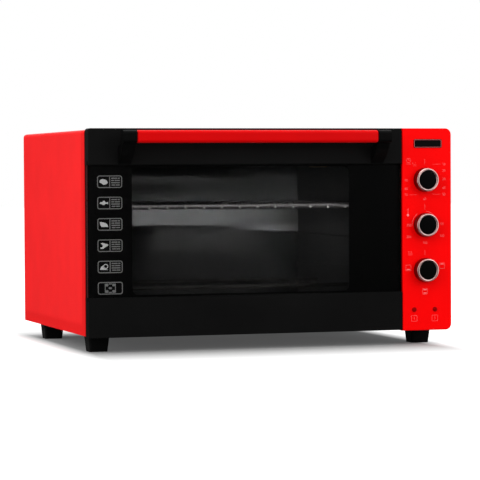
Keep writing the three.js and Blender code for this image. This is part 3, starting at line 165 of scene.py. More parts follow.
class Nodes:
    """Nodes of one tree, made and linked in few words."""

    def __init__(self, tree):
        self.tree = tree
        tree.nodes.clear()

    def node(self, kind, **sockets):
        made = self.tree.nodes.new(kind)
        for name, value in sockets.items():
            self.feed(made.inputs[name.replace("_", " ")], value)
        return made

    def feed(self, socket, value):
        if isinstance(value, bpy.types.NodeSocket):
            self.tree.links.new(value, socket)
        elif socket.type == "RGBA":
            socket.default_value = (*value, 1)
        else:
            socket.default_value = value

    def reckon(self, operation, *values, vector=False):
        """Result of a math node, or of a vector math node, that is fed in order."""
        made = self.tree.nodes.new("ShaderNodeVectorMath" if vector else "ShaderNodeMath")
        made.operation = operation
        for socket, value in zip(made.inputs, values):
            self.feed(socket, value)
        single = not vector or operation == "LENGTH"
        return made.outputs["Value" if single else "Vector"]

    def spread(self, value, low, high, start=0.3, end=0.7):
        """A value from start to end, stretched to run from low to high."""
        return self.node("ShaderNodeMapRange", Value=value, From_Min=start, From_Max=end,
                         To_Min=low, To_Max=high).outputs["Result"]


# Colour sockets of a mix node, whose names stand once for each kind of data
MIX_FIRST, MIX_SECOND, MIX_RESULT = 6, 7, 2


class Finish(Nodes):
    """Nodes of one material, which share the coordinates of the piece that wears it."""

    def __init__(self, name):
        self.material = bpy.data.materials.new(name)
        self.material.use_nodes = True
        super().__init__(self.material.node_tree)
        self.place = self.node("ShaderNodeTexCoord").outputs["Object"]

    def noise(self, size, detail=2, place=None):
        """Cloudy pattern whose blotches are about this size (mm)."""
        cloud = self.node("ShaderNodeTexNoise", Vector=place or self.place,
                          Scale=1 / (size * MM), Detail=detail)
        return cloud.outputs["Fac"]

    def stretched(self, scale, centre=(0, 0, 0)):
        """The piece's coordinates, measured from a centre and scaled along each axis."""
        mapping = self.node("ShaderNodeMapping", Vector=self.place,
                            Location=[-c * s for c, s in zip(centre, scale)], Scale=scale)
        return mapping.outputs["Vector"]

    def tones(self, value, colour, dark, light, start=0.3, end=0.7):
        """A colour times dark to times light, as the value goes from start to end."""
        ramp = self.node("ShaderNodeValToRGB", Fac=value)
        for stop, position, share in zip(ramp.color_ramp.elements, (start, end), (dark, light)):
            stop.position = position
            stop.color = (*shaded(colour, share), 1)
        return ramp.outputs["Color"]

    def blended(self, share, first, second):
        """Colour that goes from the first to the second as the share goes from 0 to 1."""
        mix = self.node("ShaderNodeMix", Factor=share)
        mix.data_type = "RGBA"
        self.feed(mix.inputs[MIX_FIRST], first)
        self.feed(mix.inputs[MIX_SECOND], second)
        return mix.outputs[MIX_RESULT]

    def relief(self, height, depth):
        """Fine relief that is this deep (mm)."""
        bump = self.node("ShaderNodeBump", Height=height, Distance=depth * MM, Strength=1)
        return bump.outputs["Normal"]

    def places(self):
        """The piece's coordinates, one output for each axis."""
        return self.node("ShaderNodeSeparateXYZ", Vector=self.place).outputs

    def done(self, shader):
        self.node("ShaderNodeOutputMaterial", Surface=shader)
        return self.material

    def surface(self, **sockets):
        return self.done(self.node("ShaderNodeBsdfPrincipled", **sockets).outputs["BSDF"])


def shaded(colour, share):
    return tuple(min(1, c * share) for c in colour)


def coated(name, colour, roughness, gloss, grain, depth, drift=0.03):
    """Paint or moulded plastic: faint drift of tone, and a skin of this grain and depth (mm)."""
    finish = Finish(name)
    cloud = finish.noise(60)
    skin = finish.noise(grain, 3)
    return finish.surface(
        Base_Color=finish.tones(cloud, colour, 1 - drift, 1 + drift),
        Roughness=finish.spread(skin, roughness - 0.04, roughness + 0.04),
        Normal=finish.relief(skin, depth),
        Specular_IOR_Level=gloss)


def hemmed_enamel(name, colour, hem, low):
    """Red enamel on the casing, with painted shade: a deeper red along its front edge and towards
    its bottom edge.
    """
    finish = Finish(name)
    cloud = finish.noise(60)
    skin = finish.noise(1.6, 3)
    places = finish.places()
    # Painted shade masks: the front strip fully and the bottom strip at 0.8, each fading out over
    # a few millimetres
    front_shade_width, front_fade, foot_shade_height, foot_fade = 18 * MM, 4 * MM, 14 * MM, 6 * MM
    front = finish.spread(places["Y"], 1, 0, low.y + front_shade_width, low.y + front_shade_width + front_fade)
    foot = finish.spread(places["Z"], 0.8, 0, low.z + foot_shade_height, low.z + foot_shade_height + foot_fade)
    plain = finish.tones(cloud, colour, 0.97, 1.03)
    return finish.surface(
        Base_Color=finish.blended(finish.reckon("MAXIMUM", front, foot), plain, hem),
        Roughness=finish.spread(skin, 0.3, 0.38),
        Normal=finish.relief(skin, 0.012),
        Specular_IOR_Level=0.03)


def bare_metal(name, colour, roughness, grain, depth, drift=0.08, metallic=1.0):
    """Sheet, wire or rod metal: cloudy sheen, and drawn marks of this grain and depth (mm)."""
    finish = Finish(name)
    cloud = finish.noise(14)
    marks = finish.noise(grain, 4)
    return finish.surface(
        Base_Color=finish.tones(cloud, colour, 1 - drift, 1 + drift),
        Roughness=finish.spread(marks, roughness * 0.75, roughness * 1.3),
        Normal=finish.relief(marks, depth),
        Metallic=metallic)


def zinc_plate(name, colour):
    """Galvanised sheet with a faint spangle of crystals."""
    finish = Finish(name)
    crystal_size = 7 * MM
    spangle = finish.node("ShaderNodeTexVoronoi", Vector=finish.place,
                          Scale=1 / crystal_size).outputs["Color"]
    scratches = finish.noise(0.8, 3)
    return finish.surface(
        Base_Color=finish.tones(spangle, colour, 0.86, 1.06, 0.1, 0.9),
        Roughness=finish.spread(spangle, 0.32, 0.5, 0.1, 0.9),
        Normal=finish.relief(scratches, 0.01),
        Metallic=1.0)


def speckled_enamel(name, colour):
    """Vitreous enamel with fine pale flecks."""
    finish = Finish(name)
    flecks = finish.spread(finish.noise(1.1, 2), 0, 1, 0.6, 0.68)
    cloud = finish.noise(40)
    skin = finish.noise(6)
    ground = finish.tones(cloud, colour, 0.9, 1.06)
    return finish.surface(
        Base_Color=finish.blended(flecks, ground, shaded(colour, 1.9)),
        Roughness=finish.spread(skin, 0.38, 0.5),
        Normal=finish.relief(skin, 0.03), Specular_IOR_Level=0.12)


def turned_ring(name, silver, dark, low, high):
    """Ring turned on a lathe: a bright grooved front and a dark side, whose darkness is partly the
    knob's dark flank and partly painted shade.
    """
    finish = Finish(name)
    radius = finish.reckon("LENGTH", finish.stretched((1, 0, 1), (low + high) / 2), vector=True)
    rings = finish.node("ShaderNodeCombineXYZ", X=radius)
    grooves = finish.noise(0.18, 1, rings.outputs["Vector"])
    lip = low.y + 1.2 * MM
    # Behind the lip the ring turns to the dark side colour: partly a dark flank, partly painted
    # shade
    side = finish.spread(finish.places()["Y"], 0, 1, lip, lip + 0.3 * MM)
    along = finish.node("ShaderNodeTangent")
    along.direction_type, along.axis = "RADIAL", "Y"
    return finish.surface(
        Base_Color=finish.blended(side, finish.tones(grooves, silver, 0.9, 1), dark),
        Roughness=finish.spread(grooves, 0.24, 0.34), Anisotropic=0.75,
        Tangent=along.outputs["Tangent"],
        Normal=finish.relief(grooves, 0.002), Metallic=1.0)


def clear_glass(name, tint):
    """Toned glass: it lets most light straight through and mirrors more at a slant."""
    finish = Finish(name)
    film = finish.noise(90)
    through = finish.node("ShaderNodeBsdfTransparent",
                          Color=finish.tones(film, tint, 0.985, 1.01))
    mirror = finish.node("ShaderNodeBsdfGlossy", Color=(1, 1, 1),
                         Roughness=finish.spread(film, 0.02, 0.05))
    glance = finish.node("ShaderNodeLayerWeight", Blend=0.15)
    mix = finish.node("ShaderNodeMixShader", Fac=glance.outputs["Fresnel"])
    finish.feed(mix.inputs[1], through.outputs["BSDF"])
    finish.feed(mix.inputs[2], mirror.outputs["BSDF"])
    return finish.done(mix.outputs["Shader"])


def lens_plastic(name, colour):
    """Moulded lens with soft streaks of deeper and paler red."""
    finish = Finish(name)
    streaks = finish.noise(2.5)
    return finish.surface(
        Base_Color=finish.tones(streaks, colour, 0.8, 1.15),
        Roughness=finish.spread(streaks, 0.2, 0.3), Specular_IOR_Level=0.03)


def woven_sleeve(name, colour):
    """Glass-fibre sleeve over a wire: two crossing sets of fine threads."""
    finish = Finish(name)
    weave = []
    for slant in (1, -1):
        wave = finish.node("ShaderNodeTexWave",
                           Vector=finish.stretched((1, slant, slant)), Scale=280, Distortion=0.4)
        wave.bands_direction = "DIAGONAL"
        weave.append(wave.outputs["Fac"])
    threads = finish.reckon("MULTIPLY", *weave)
    return finish.surface(
        Base_Color=finish.tones(threads, colour, 0.7, 1, 0.05, 0.6),
        Roughness=finish.spread(threads, 0.7, 0.9), Normal=finish.relief(threads, 0.06))


def printed(name, colour):
    """Screen print: even ink with a barely broken edge to its gloss."""
    finish = Finish(name)
    ink = finish.noise(0.6)
    return finish.surface(
        Base_Color=finish.tones(ink, colour, 0.96, 1),
        Roughness=finish.spread(ink, 0.45, 0.6), Specular_IOR_Level=0.1)


def wear(material, *names):
    """Give CAD nodes a finish."""
    for name in names:
        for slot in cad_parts[name].material_slots:
            slot.material = material


# Mesh work


def new_object(name, data):
    """Mesh, lamp or camera, put into the scene."""
    made = bpy.data.objects.new(name, data)
    bpy.context.scene.collection.objects.link(made)
    return made


def new_solid(name, shape, material):
    """Object with the shape of a built mesh, which is used up."""
    mesh = bpy.data.meshes.new(name)
    shape.to_mesh(mesh)
    shape.free()
    mesh.materials.append(material)
    return new_object(name, mesh)


def piece(name, shape, material, body):
    """Turn a built mesh into an object that rides on a CAD body."""
    bmesh.ops.recalc_face_normals(shape, faces=shape.faces)
    made = new_solid(name, shape, material)
    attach(made, body)


# A ribbon's mitre reaches no further than half its width over this share
SHARPEST_MITRE = 0.35


class Stencil:
    """Thin plates and ribbons on an upright face, drawn to the right (u) and up (v)."""

    def __init__(self, face, depth, origin=(0, 0), mesh=None):
        self.face, self.depth, self.origin = face, depth, origin
        self.mesh = bmesh.new() if mesh is None else mesh
        self.levels = (face - depth, face)

    def at(self, u, v):
        """The same stencil, drawn about another point."""
        origin = (self.origin[0] + u, self.origin[1] + v)
        return Stencil(self.face, self.depth, origin, self.mesh)

    def corner(self, point, y):
        u, v = point
        return self.mesh.verts.new((self.origin[0] + u, y, self.origin[1] + v))

    def plate(self, outline, *holes):
        """Flat plate inside an outline, less its holes."""
        rims = []
        for y in self.levels:
            loops = [[self.corner(p, y) for p in loop] for loop in (outline, *holes)]
            edges = [self.mesh.edges.new((loop[i - 1], loop[i]))
                     for loop in loops for i in range(len(loop))]
            if holes:
                bmesh.ops.triangle_fill(self.mesh, edges=edges, use_beauty=True)
            else:
                self.mesh.faces.new(loops[0])
            rims.append(loops)
        for front, back in zip(*rims):
            for i in range(len(front)):
                self.mesh.faces.new((front[i - 1], front[i], back[i], back[i - 1]))

    def line(self, points, width):
        """Ribbon through points in millimetres."""
        self.ribbon(scaled(points, MM), width)

    def ribbon(self, path, width, closed=False):
        """Line of even width with mitred corners."""
        points = [Vector(p) for p in path]
        stations = []
        count = len(points)
        for i, point in enumerate(points):
            ahead = points[(i + 1) % count] - point if closed or i + 1 < count else None
            behind = point - points[i - 1] if closed or i else None
            steps = [s.normalized() for s in (behind, ahead) if s]
            along = sum(steps, Vector((0, 0))).normalized()
            across = Vector((-along.y, along.x))
            reach = width / 2 / max(SHARPEST_MITRE, along.dot(steps[0]))
            sides = (point + across * reach, point - across * reach)
            stations.append([self.corner(p, y) for y in self.levels for p in sides])
        pairs = list(zip(stations, stations[1:]))
        if closed:
            pairs.append((stations[-1], stations[0]))
        for here, there in pairs:
            for a, b in ((0, 1), (1, 3), (3, 2), (2, 0)):
                self.mesh.faces.new((here[a], here[b], there[b], there[a]))
        if not closed:
            for end in (stations[0], stations[-1]):
                self.mesh.faces.new([end[k] for k in (0, 1, 3, 2)])


def arc(centre, radius, start, end, steps=12):
    """Points on an arc; angles in turns, clockwise from the top."""
    angles = (math.tau * (start + (end - start) * i / steps) for i in range(steps + 1))
    return [(centre[0] + radius * math.sin(a), centre[1] + radius * math.cos(a)) for a in angles]


def round_loop(centre, radius, steps=24, squash=1):
    loop = arc((0, 0), radius, 0, 1, steps)[:-1]
    return [(centre[0] + u, centre[1] + v * squash) for u, v in loop]


def front_middle(name):
    """Middle of a node seen from the front: right and up."""
    low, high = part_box(name)
    return ((low.x + high.x) / 2, (low.z + high.z) / 2)


def rounded_box(centre, width, height, radius, steps=4):
    loop = []
    for right, up, start in ((1, 1, 0), (1, -1, 0.25), (-1, -1, 0.5), (-1, 1, 0.75)):
        middle = (centre[0] + right * (width / 2 - radius), centre[1] + up * (height / 2 - radius))
        loop += arc(middle, radius, start, start + 0.25, steps)
    return loop


def scaled(points, size, shift=(0, 0)):
    return [(u * size + shift[0], v * size + shift[1]) for u, v in points]


def digit_strokes():
    """Strokes of the numerals on a grid one unit high and 0.6 wide."""
    bowl = 0.26
    low, high = 0.26, 0.74
    return {
        "0": [arc((0, high), bowl, -0.25, 0.25, 8) + arc((0, low), bowl, 0.25, 0.75, 8)
              + [(-bowl, high)]],
        "1": [[(-0.14, 0.82), (0.06, 1), (0.06, 0)]],
        "2": [arc((0, high), bowl, -0.2, 0.35, 8) + [(-bowl, 0), (bowl, 0)]],
        "3": [arc((0, 0.76), 0.24, -0.2, 0.5, 8), arc((0, low), bowl, 0, 0.7, 9)],
        "4": [[(0.12, 0), (0.12, 1), (-0.28, 0.3), (0.28, 0.3)]],
        "5": [[(0.24, 1), (-0.2, 1), (-0.24, 0.54)] + arc((0, 0.3), 0.3, -0.08, 0.7, 10)],
        "6": [[(0.12, 1), (-0.2, 0.5)] + arc((0, low), bowl, -0.2, 0.8, 12)],
        "7": [[(-bowl, 1), (bowl, 1), (-0.06, 0)]],
        "8": [round_loop((0, 0.76), 0.22, 12), round_loop((0, low), bowl, 12)],
        "9": [arc((0, high), bowl, 0.3, 1.3, 12) + [(-0.12, 0)]],
    }


def write_number(ink, number, centre, height, stroke):
    """Numerals drawn with a plain stroke, centred on a point."""
    digits, strokes = str(number), digit_strokes()
    advance = 0.78 * height
    start = centre[0] - advance * (len(digits) - 1) / 2
    for place, digit in enumerate(digits):
        for line in strokes[digit]:
            ink.ribbon(scaled(line, height, (start + place * advance, centre[1] - height / 2)),
                       stroke, closed=digit == "8")


def screw_head(mesh, centre, radius):
    """Pan head with a cross recess, standing on a face that looks to the rear."""
    steps, height = 20, radius * 0.55
    arm, slot, sunk = radius * 0.58, radius * 0.15, radius * 0.28
    dome = ((1, 0), (1, 0.45), (0.93, 0.78), (0.76, 1))
    turn = Vector((0, 1, 0)).to_track_quat("Z", "Y").to_matrix().to_4x4()
    place = Matrix.Translation(centre) @ turn

    def loop(points, level):
        return [mesh.verts.new(place @ Vector((x, y, level))) for x, y in points]

    rings = [loop(round_loop((0, 0), radius * share, steps), height * level)
             for share, level in dome]
    quarter = ((slot, arm), (slot, slot), (arm, slot))
    cross = []
    for _ in range(4):
        cross += quarter
        quarter = [(y, -x) for x, y in quarter]
    mouth, floor = loop(cross, height), loop(cross, height - sunk)
    for lower, upper in (*zip(rings, rings[1:]), (mouth, floor)):
        for i in range(len(lower)):
            mesh.faces.new((lower[i - 1], lower[i], upper[i], upper[i - 1]))
    top = [mesh.edges.get((ring[i - 1], ring[i])) for ring in (rings[-1], mouth)
           for i in range(len(ring))]
    bmesh.ops.triangle_fill(mesh, edges=top, use_beauty=True)
    mesh.faces.new(rings[0])
    mesh.faces.new(floor)


def rear_screws(name, columns, rows, face, radius, body):
    """Screws on a rear face, one where each column crosses each row."""
    heads = bmesh.new()
    for x, z in product(columns, rows):
        screw_head(heads, (x, face, z), radius)
    steel = bpy.data.materials.get("screw steel") or bare_metal(
        "screw steel", paint("A8A8AA"), 0.3, 0.5, 0.01)
    piece(name, heads, steel, body)


# Pieces


class OVEN_OT_casing(bpy.types.Operator):
    """Finish the steel casing, its covers, feet and cable inlet, and build the cover's screws"""
    bl_idname = "oven.casing"
    bl_label = "Casing"

    def execute(self, context):
        finishes = context.scene.oven_finishes
        sizes = context.scene.oven_sizes
        # The casing's enamel carries painted shade along its front and bottom edges
        wear(hemmed_enamel("casing red enamel", finishes.casing_red, finishes.hem_red,
                           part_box("outer_casing")[0]), "outer_casing")
        wear(zinc_plate("zinc plated sheet", finishes.zinc_grey),
             "base_plate", "heat_shield", "upper_heater_clip", "lower_heater_clip")
        wear(coated("black coated sheet", paint("151516"), 0.5, 0.2, 0.7, 0.03, 0.08),
             "front_frame", "rear_cover")
        wear(coated("moulded black rubber", paint("060606"), 0.72, 0.06, 0.5, 0.05),
             "foot_front_left", "foot_front_right", "foot_rear_left", "foot_rear_right",
             "cable_gland")
        low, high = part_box("rear_cover")
        inset = 2.2 * sizes.cover_screw
        columns = (low.x + inset, (low.x + high.x) / 2, high.x - inset)
        rows = (low.z + inset, high.z - inset)
        rear_screws("rear_cover_screws", columns, rows, high.y, sizes.cover_screw, "casing")
        return {"FINISHED"}


class OVEN_OT_cavity(bpy.types.Operator):
    """Finish the cavity, its heaters, feeler and rack, and build the rack's weld beads"""
    bl_idname = "oven.cavity"
    bl_label = "Cavity and rack"

    def execute(self, context):
        finishes = context.scene.oven_finishes
        wear(speckled_enamel("speckled grey enamel", finishes.enamel_grey), "oven_cavity")
        wear(bare_metal("scaled heater steel", paint("5A5856"), 0.5, 1.5, 0.02,
                        drift=0.2, metallic=0.2), "upper_heater", "lower_heater")
        wear(bare_metal("plated rack wire", finishes.chrome_grey, 0.3, 2, 0.004,
                        drift=0.03, metallic=0.8), "wire_rack")
        wear(bare_metal("drawn brass feeler", paint("C0A068"), 0.3, 1, 0.005), "thermostat_feeler")
        self.weld_rack(context.scene.oven_sizes)
        return {"FINISHED"}

    @staticmethod
    def weld_rack(sizes):
        """Squashed beads where the cross wires meet the underside of the front rail."""
        low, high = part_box("wire_rack")
        count, inset, drop = 15, 0.6 * MM, 5.4 * MM
        squash = Matrix.Diagonal((1.15, 0.8, 1, 1))
        welds = bmesh.new()
        for number in range(count):
            across = (low.x + high.x) / 2 + (number - (count - 1) / 2) * sizes.weld_pitch
            place = Matrix.Translation((across, low.y + inset, high.z - drop))
            bmesh.ops.create_uvsphere(welds, u_segments=10, v_segments=6,
                                      radius=sizes.weld_radius, matrix=place @ squash)
        # The beads are welds, but their near-white metal is partly a painted glint of the wire
        # ends under the rail
        metal = bare_metal("weld metal", paint("F4F2F2"), 0.4, 0.6, 0.02, drift=0.05, metallic=0.3)
        piece("rack_welds", welds, metal, "rack")


class OVEN_OT_door(bpy.types.Operator):
    """Finish the door's trims, panes, inner frame and seal, and build the frame's screws"""
    bl_idname = "oven.door"
    bl_label = "Door"

    def execute(self, context):
        finishes = context.scene.oven_finishes
        wear(coated("satin black moulding", finishes.trim_black, 0.42, 0.03, 0.6, 0.012, 0.08),
             "door_top_trim", "door_bottom_trim")
        wear(clear_glass("toned door glass", finishes.glass_tint), "door_glass")
        wear(clear_glass("inner door glass", finishes.inner_tint), "door_inner_glass")
        wear(coated("black enamelled sheet", paint("0F0F10"), 0.3, 0.3, 2, 0.01, 0.1),
             "door_inner_frame")
        wear(coated("silicone seal", paint("2A2A2B"), 0.65, 0.3, 0.7, 0.03, 0.06), "door_seal")
        low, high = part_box("door_inner_frame")
        inset = 9 * MM
        columns = (low.x + inset, high.x - inset)
        rows = (low.z + 4 * inset, high.z - inset)
        rear_screws("inner_frame_screws", columns, rows, high.y,
                    context.scene.oven_sizes.door_screw, "door")
        return {"FINISHED"}


class OVEN_OT_handle(bpy.types.Operator):
    """Finish the handle bar and its two arms"""
    bl_idname = "oven.handle"
    bl_label = "Handle"

    def execute(self, context):
        finishes = context.scene.oven_finishes
        wear(coated("handle bar red", finishes.bar_red, 0.34, 0.04, 1.4, 0.008), "handle_bar")
        # The arms wear a darker copy of the trims' black as painted shade
        wear(coated("handle arm black", finishes.arm_black, 0.45, 0.04, 0.6, 0.012, 0.08),
             "handle_arm_left", "handle_arm_right")
        return {"FINISHED"}


# Foods of the cooking pictures from the top down, as outlines about their middles (mm)
FOODS = {
    "roast bird": (
        (-6.4, 0.4), (-5.4, 2.6), (-2.6, 4), (1, 3.7), (4, 2.4), (6, 0.2), (6.4, -1.8),
        (4.4, -3.6), (1, -4.6), (-1.6, -4), (-3.4, -2.2), (-5.6, -1.6)),
    "fish": (
        (-6.6, 0), (-4.6, 1.5), (-2.2, 1.5), (-0.6, 3.4), (1.4, 3.4), (2.6, 1.4), (4.2, 0.8),
        (6.8, 1.8), (6.8, -1.8), (4.2, -1), (2.4, -1.4), (0.6, -3), (-1.4, -2.8), (-2.8, -1.6),
        (-5, -1.4)),
    "slice of cake": (
        (-6.4, 3.8), (-2, 3.2), (2.6, 2), (5.6, -0.4), (6.6, -3.8), (-3.6, -3.8), (-5.4, -1)),
    "drumstick": (
        (-5.2, 3.2), (-2.6, 4.6), (0.6, 3.6), (6.6, 1.8), (6.2, 0), (2.2, -2.2), (-0.8, -4.4),
        (-5, -4.8), (-6, -2.8), (-3, -2.4), (-1.6, 0), (-3.2, 1.8)),
    "loaf and ring bun": (
        (-6.6, -4), (-4.4, 0.8), (-1.6, 2.4), (-1.8, -0.6), (0, -2.6), (3, -2.8), (6, -4.4)),
}


def draw_food(ink, food):
    ink.plate(scaled(FOODS[food], MM))
    if food == "loaf and ring bun":
        ink.ribbon(round_loop((2.4 * MM, 0.9 * MM), 3.4 * MM, 20, 0.9), 1.1 * MM, closed=True)


def draw_bars(ink):
    """Four rows of plain bars beside a food."""
    top, pitch, right, gap, thickness = 5.2, 3.4, 7.4, 0.9, 1.7
    for row, starts in enumerate(((-7, 3.2), (-7, -1.6), (-7,), (-6.4, 0.4))):
        height = top - row * pitch
        for start, end in zip(starts, (*starts[1:], right)):
            ink.line([(start, height), (end - gap, height)], thickness * MM)


def draw_fan(ink):
    """Four blades about a hub, between two blank cheeks."""
    unit = 1.2 * MM
    corner = 0.9 * unit
    for u, v in product((-1, 1), repeat=2):
        blade = (u * 4.4 * unit, v * 4.1 * unit)
        ink.plate(rounded_box(blade, 3.6 * unit, 3.4 * unit, corner, 2))
    ink.plate(rounded_box((0, 0), 4.2 * unit, 2.4 * unit, corner, 2))
    for v in (-5.4, 5.4):
        ink.ribbon(scaled([(-2, v), (2, v)], unit), 1.2 * unit)
    for u in (-6.6, 6.6):
        ink.ribbon(scaled([(u, -5.6), (u, 5.6)], unit), unit)


# Middle of the clear window, and the upper left corner of the top picture (m)
WINDOW_MIDDLE = (-0.05, 0.184)
PICTURES_LEFT, PICTURES_TOP = -0.2785, 0.268


class OVEN_OT_glass_print(bpy.types.Operator):
    """Build the black border and the six cooking pictures behind the door glass"""
    bl_idname = "oven.glass_print"
    bl_label = "Glass print"

    def execute(self, context):
        finishes = context.scene.oven_finishes
        sizes = context.scene.oven_sizes
        low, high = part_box("door_glass")
        depth, clearance, margin = sizes.mark_depth, 0.03 * MM, 0.6 * MM
        pane = high.y + clearance
        border = Stencil(pane + 3 * depth, depth)
        outline = rounded_box(front_middle("door_glass"), high.x - low.x - margin,
                              high.z - low.z - margin, 1 * MM)
        border.plate(outline, rounded_box(WINDOW_MIDDLE, sizes.window_width,
                                          sizes.window_height, 9 * MM, 6))
        lines, foods = Stencil(pane + depth, depth), Stencil(pane + depth, depth)
        self.draw_pictures(lines, foods, sizes)
        for name, ink, finish, colour in (
                ("glass_border", border, "glass border black", finishes.border_black),
                ("glass_pictures", lines, "glass print grey", finishes.picture_grey),
                ("glass_foods", foods, "glass print white", finishes.picture_white)):
            piece(name, ink.mesh, printed(finish, colour), "door")
        return {"FINISHED"}

    @staticmethod
    def draw_pictures(lines, foods, sizes):
        """Frames, bars and the fan in one ink and the foods in another."""
        width, height, stroke = sizes.picture_width, sizes.picture_height, sizes.picture_stroke
        for number, food in enumerate((*FOODS, "fan")):
            centre = (PICTURES_LEFT + width / 2,
                      PICTURES_TOP - height / 2 - number * sizes.picture_pitch)
            picture = lines.at(*centre)
            picture.ribbon(rounded_box((0, 0), width, height, 3 * MM), stroke, closed=True)
            if food == "fan":
                draw_fan(picture)
                continue
            picture.ribbon([(0, -height / 2 + stroke), (0, height / 2 - stroke)], stroke)
            draw_food(foods.at(centre[0] - width / 4, centre[1]), food)
            draw_bars(picture.at(width / 4, 0))


class OVEN_OT_knobs(bpy.types.Operator):
    """Finish the three knobs, their bright rings and shafts"""
    bl_idname = "oven.knobs"
    bl_label = "Knobs"

    def execute(self, context):
        finishes = context.scene.oven_finishes
        face = coated("satin knob black", finishes.knob_black, 0.42, 0.03, 0.4, 0.01, 0.1)
        brass = bare_metal("turned shaft brass", paint("C8A86A"), 0.25, 0.6, 0.004)
        for control in KNOBS:
            ring = f"{control}_knob_ring"
            wear(face, f"{control}_knob")
            wear(turned_ring(f"{control} ring silver", finishes.ring_silver, finishes.ring_dark,
                             *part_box(ring)), ring)
            wear(brass, f"{control}_shaft")
        return {"FINISHED"}


def draw_clock(ink, stroke):
    """Small clock face with a bell stroke beneath it."""
    ink.ribbon(round_loop((0, 1.6 * MM), 3.6 * MM, 20), stroke, closed=True)
    ink.line([(0, 4.2), (0, 1.6), (2, 0.6)], stroke)
    ink.line([(-3.4, -4), (3.4, -4)], stroke)


def draw_thermometer(ink, stroke):
    """Bulb with a round-topped tube on it."""
    tube, foot, top = 0.9, -2, 5
    ink.plate(round_loop((0, -4 * MM), 1.9 * MM, 14))
    ink.line([(-tube, foot), (-tube, top), *arc((0, top), tube, -0.25, 0.25, 6), (tube, foot)],
             stroke * 0.7)


def draw_heat_waves(ink, stroke):
    """Three upright waves side by side."""
    steps, swing, rise = 10, 0.7, 0.7
    for shift in (-2.4, 0, 2.4):
        ink.line([(shift + swing * math.sin(math.tau * s / steps), (s - steps / 2) * rise)
                  for s in range(steps + 1)], stroke)


def draw_outline(ink, width, stroke):
    """Rounded outline 9 mm high."""
    ink.ribbon(rounded_box((0, 0), width, 9 * MM, 1 * MM, 3), stroke, closed=True)


# Right and up from the knob's axis (mm): the timer's numbers, 10 and on by tens, and the
# thermostat's, 50 and on by fifties
TIMER_NUMBERS = (
    (32.4, 24.5), (32.4, 14.5), (32.4, 1.4), (32.4, -12.7), (32.4, -22.7), (0, -30),
    (-31.5, -23.3), (-31.5, -14), (-31.5, -0.5),
)
THERMOSTAT_NUMBERS = ((29, 1.4), (29, -17.4), (0, -28), (-27, -18.4), (-27, 0))
# Rules beside the timer's numbers: side (1 right, -1 left) and up from its axis (mm)
TIMER_RULES = ((1, 24.5), (1, -22.7), (-1, -23.3))
# Arcs about the thermostat: start and end in turns, clockwise from the top, and width (mm)
THERMOSTAT_ARCS = ((0.02, 0.2, 0.3), (0.74, 0.9, 0.35))
# Ovens round the selector: right and up from its axis (mm), with a bar for each heater that
# is on, 1 for the upper and -1 for the lower
SELECTOR_OVENS = ((29, 6.4, (1,)), (0, -33.7, (1, -1)), (-28, 3.7, (-1,)))
# Middle of the badge (m)
BADGE_MIDDLE = (0.25505, 0.3162)


def draw_timer(ink, sizes):
    stroke = sizes.mark_stroke
    ink.line([(0, 24.5), (0, 32.7)], stroke)
    for tens, centre in enumerate(scaled(TIMER_NUMBERS, MM), 1):
        write_number(ink, 10 * tens, centre, sizes.digit_height, stroke)
    for side, v in TIMER_RULES:
        ink.line([(side * 13, v), (side * 26.5, v)], stroke * 0.7)
    draw_clock(ink.at(-27 * MM, 29 * MM), stroke)
    draw_heat_waves(ink.at(-17.6 * MM, 24.5 * MM), stroke * 0.6)


def draw_thermostat(ink, sizes):
    stroke = sizes.mark_stroke
    ink.line([(0, 24.5), (0, 32.7)], stroke)
    draw_thermometer(ink.at(-28.6 * MM, 19.7 * MM), stroke)
    for fifties, centre in enumerate(scaled(THERMOSTAT_NUMBERS, MM), 1):
        write_number(ink, 50 * fifties, centre, sizes.digit_height, stroke)
    for start, end, width in THERMOSTAT_ARCS:
        ink.ribbon(arc((0, 0), 21.6 * MM, start, end, 16), width * MM)


def draw_selector(ink, sizes):
    stroke = sizes.mark_stroke
    ink.line([(0, 23.5), (0, 31.6)], stroke)
    draw_heat_waves(ink.at(-25 * MM, 26.8 * MM), stroke)
    for u, v, bars in SELECTOR_OVENS:
        oven = ink.at(u * MM, v * MM)
        draw_outline(oven, 8.5 * MM, stroke)
        for bar in bars:
            oven.line([(-2.7, bar * 2.6), (2.7, bar * 2.6)], 1.2 * MM)


def draw_lamps(ink, sizes):
    for lamp in LAMPS:
        u, v = front_middle(lamp)
        sign = ink.at(u, v - 14 * MM)
        draw_outline(sign, 9.5 * MM, sizes.mark_stroke)
        sign.line([(0, 2.4), (0, -2.4)], sizes.mark_stroke)


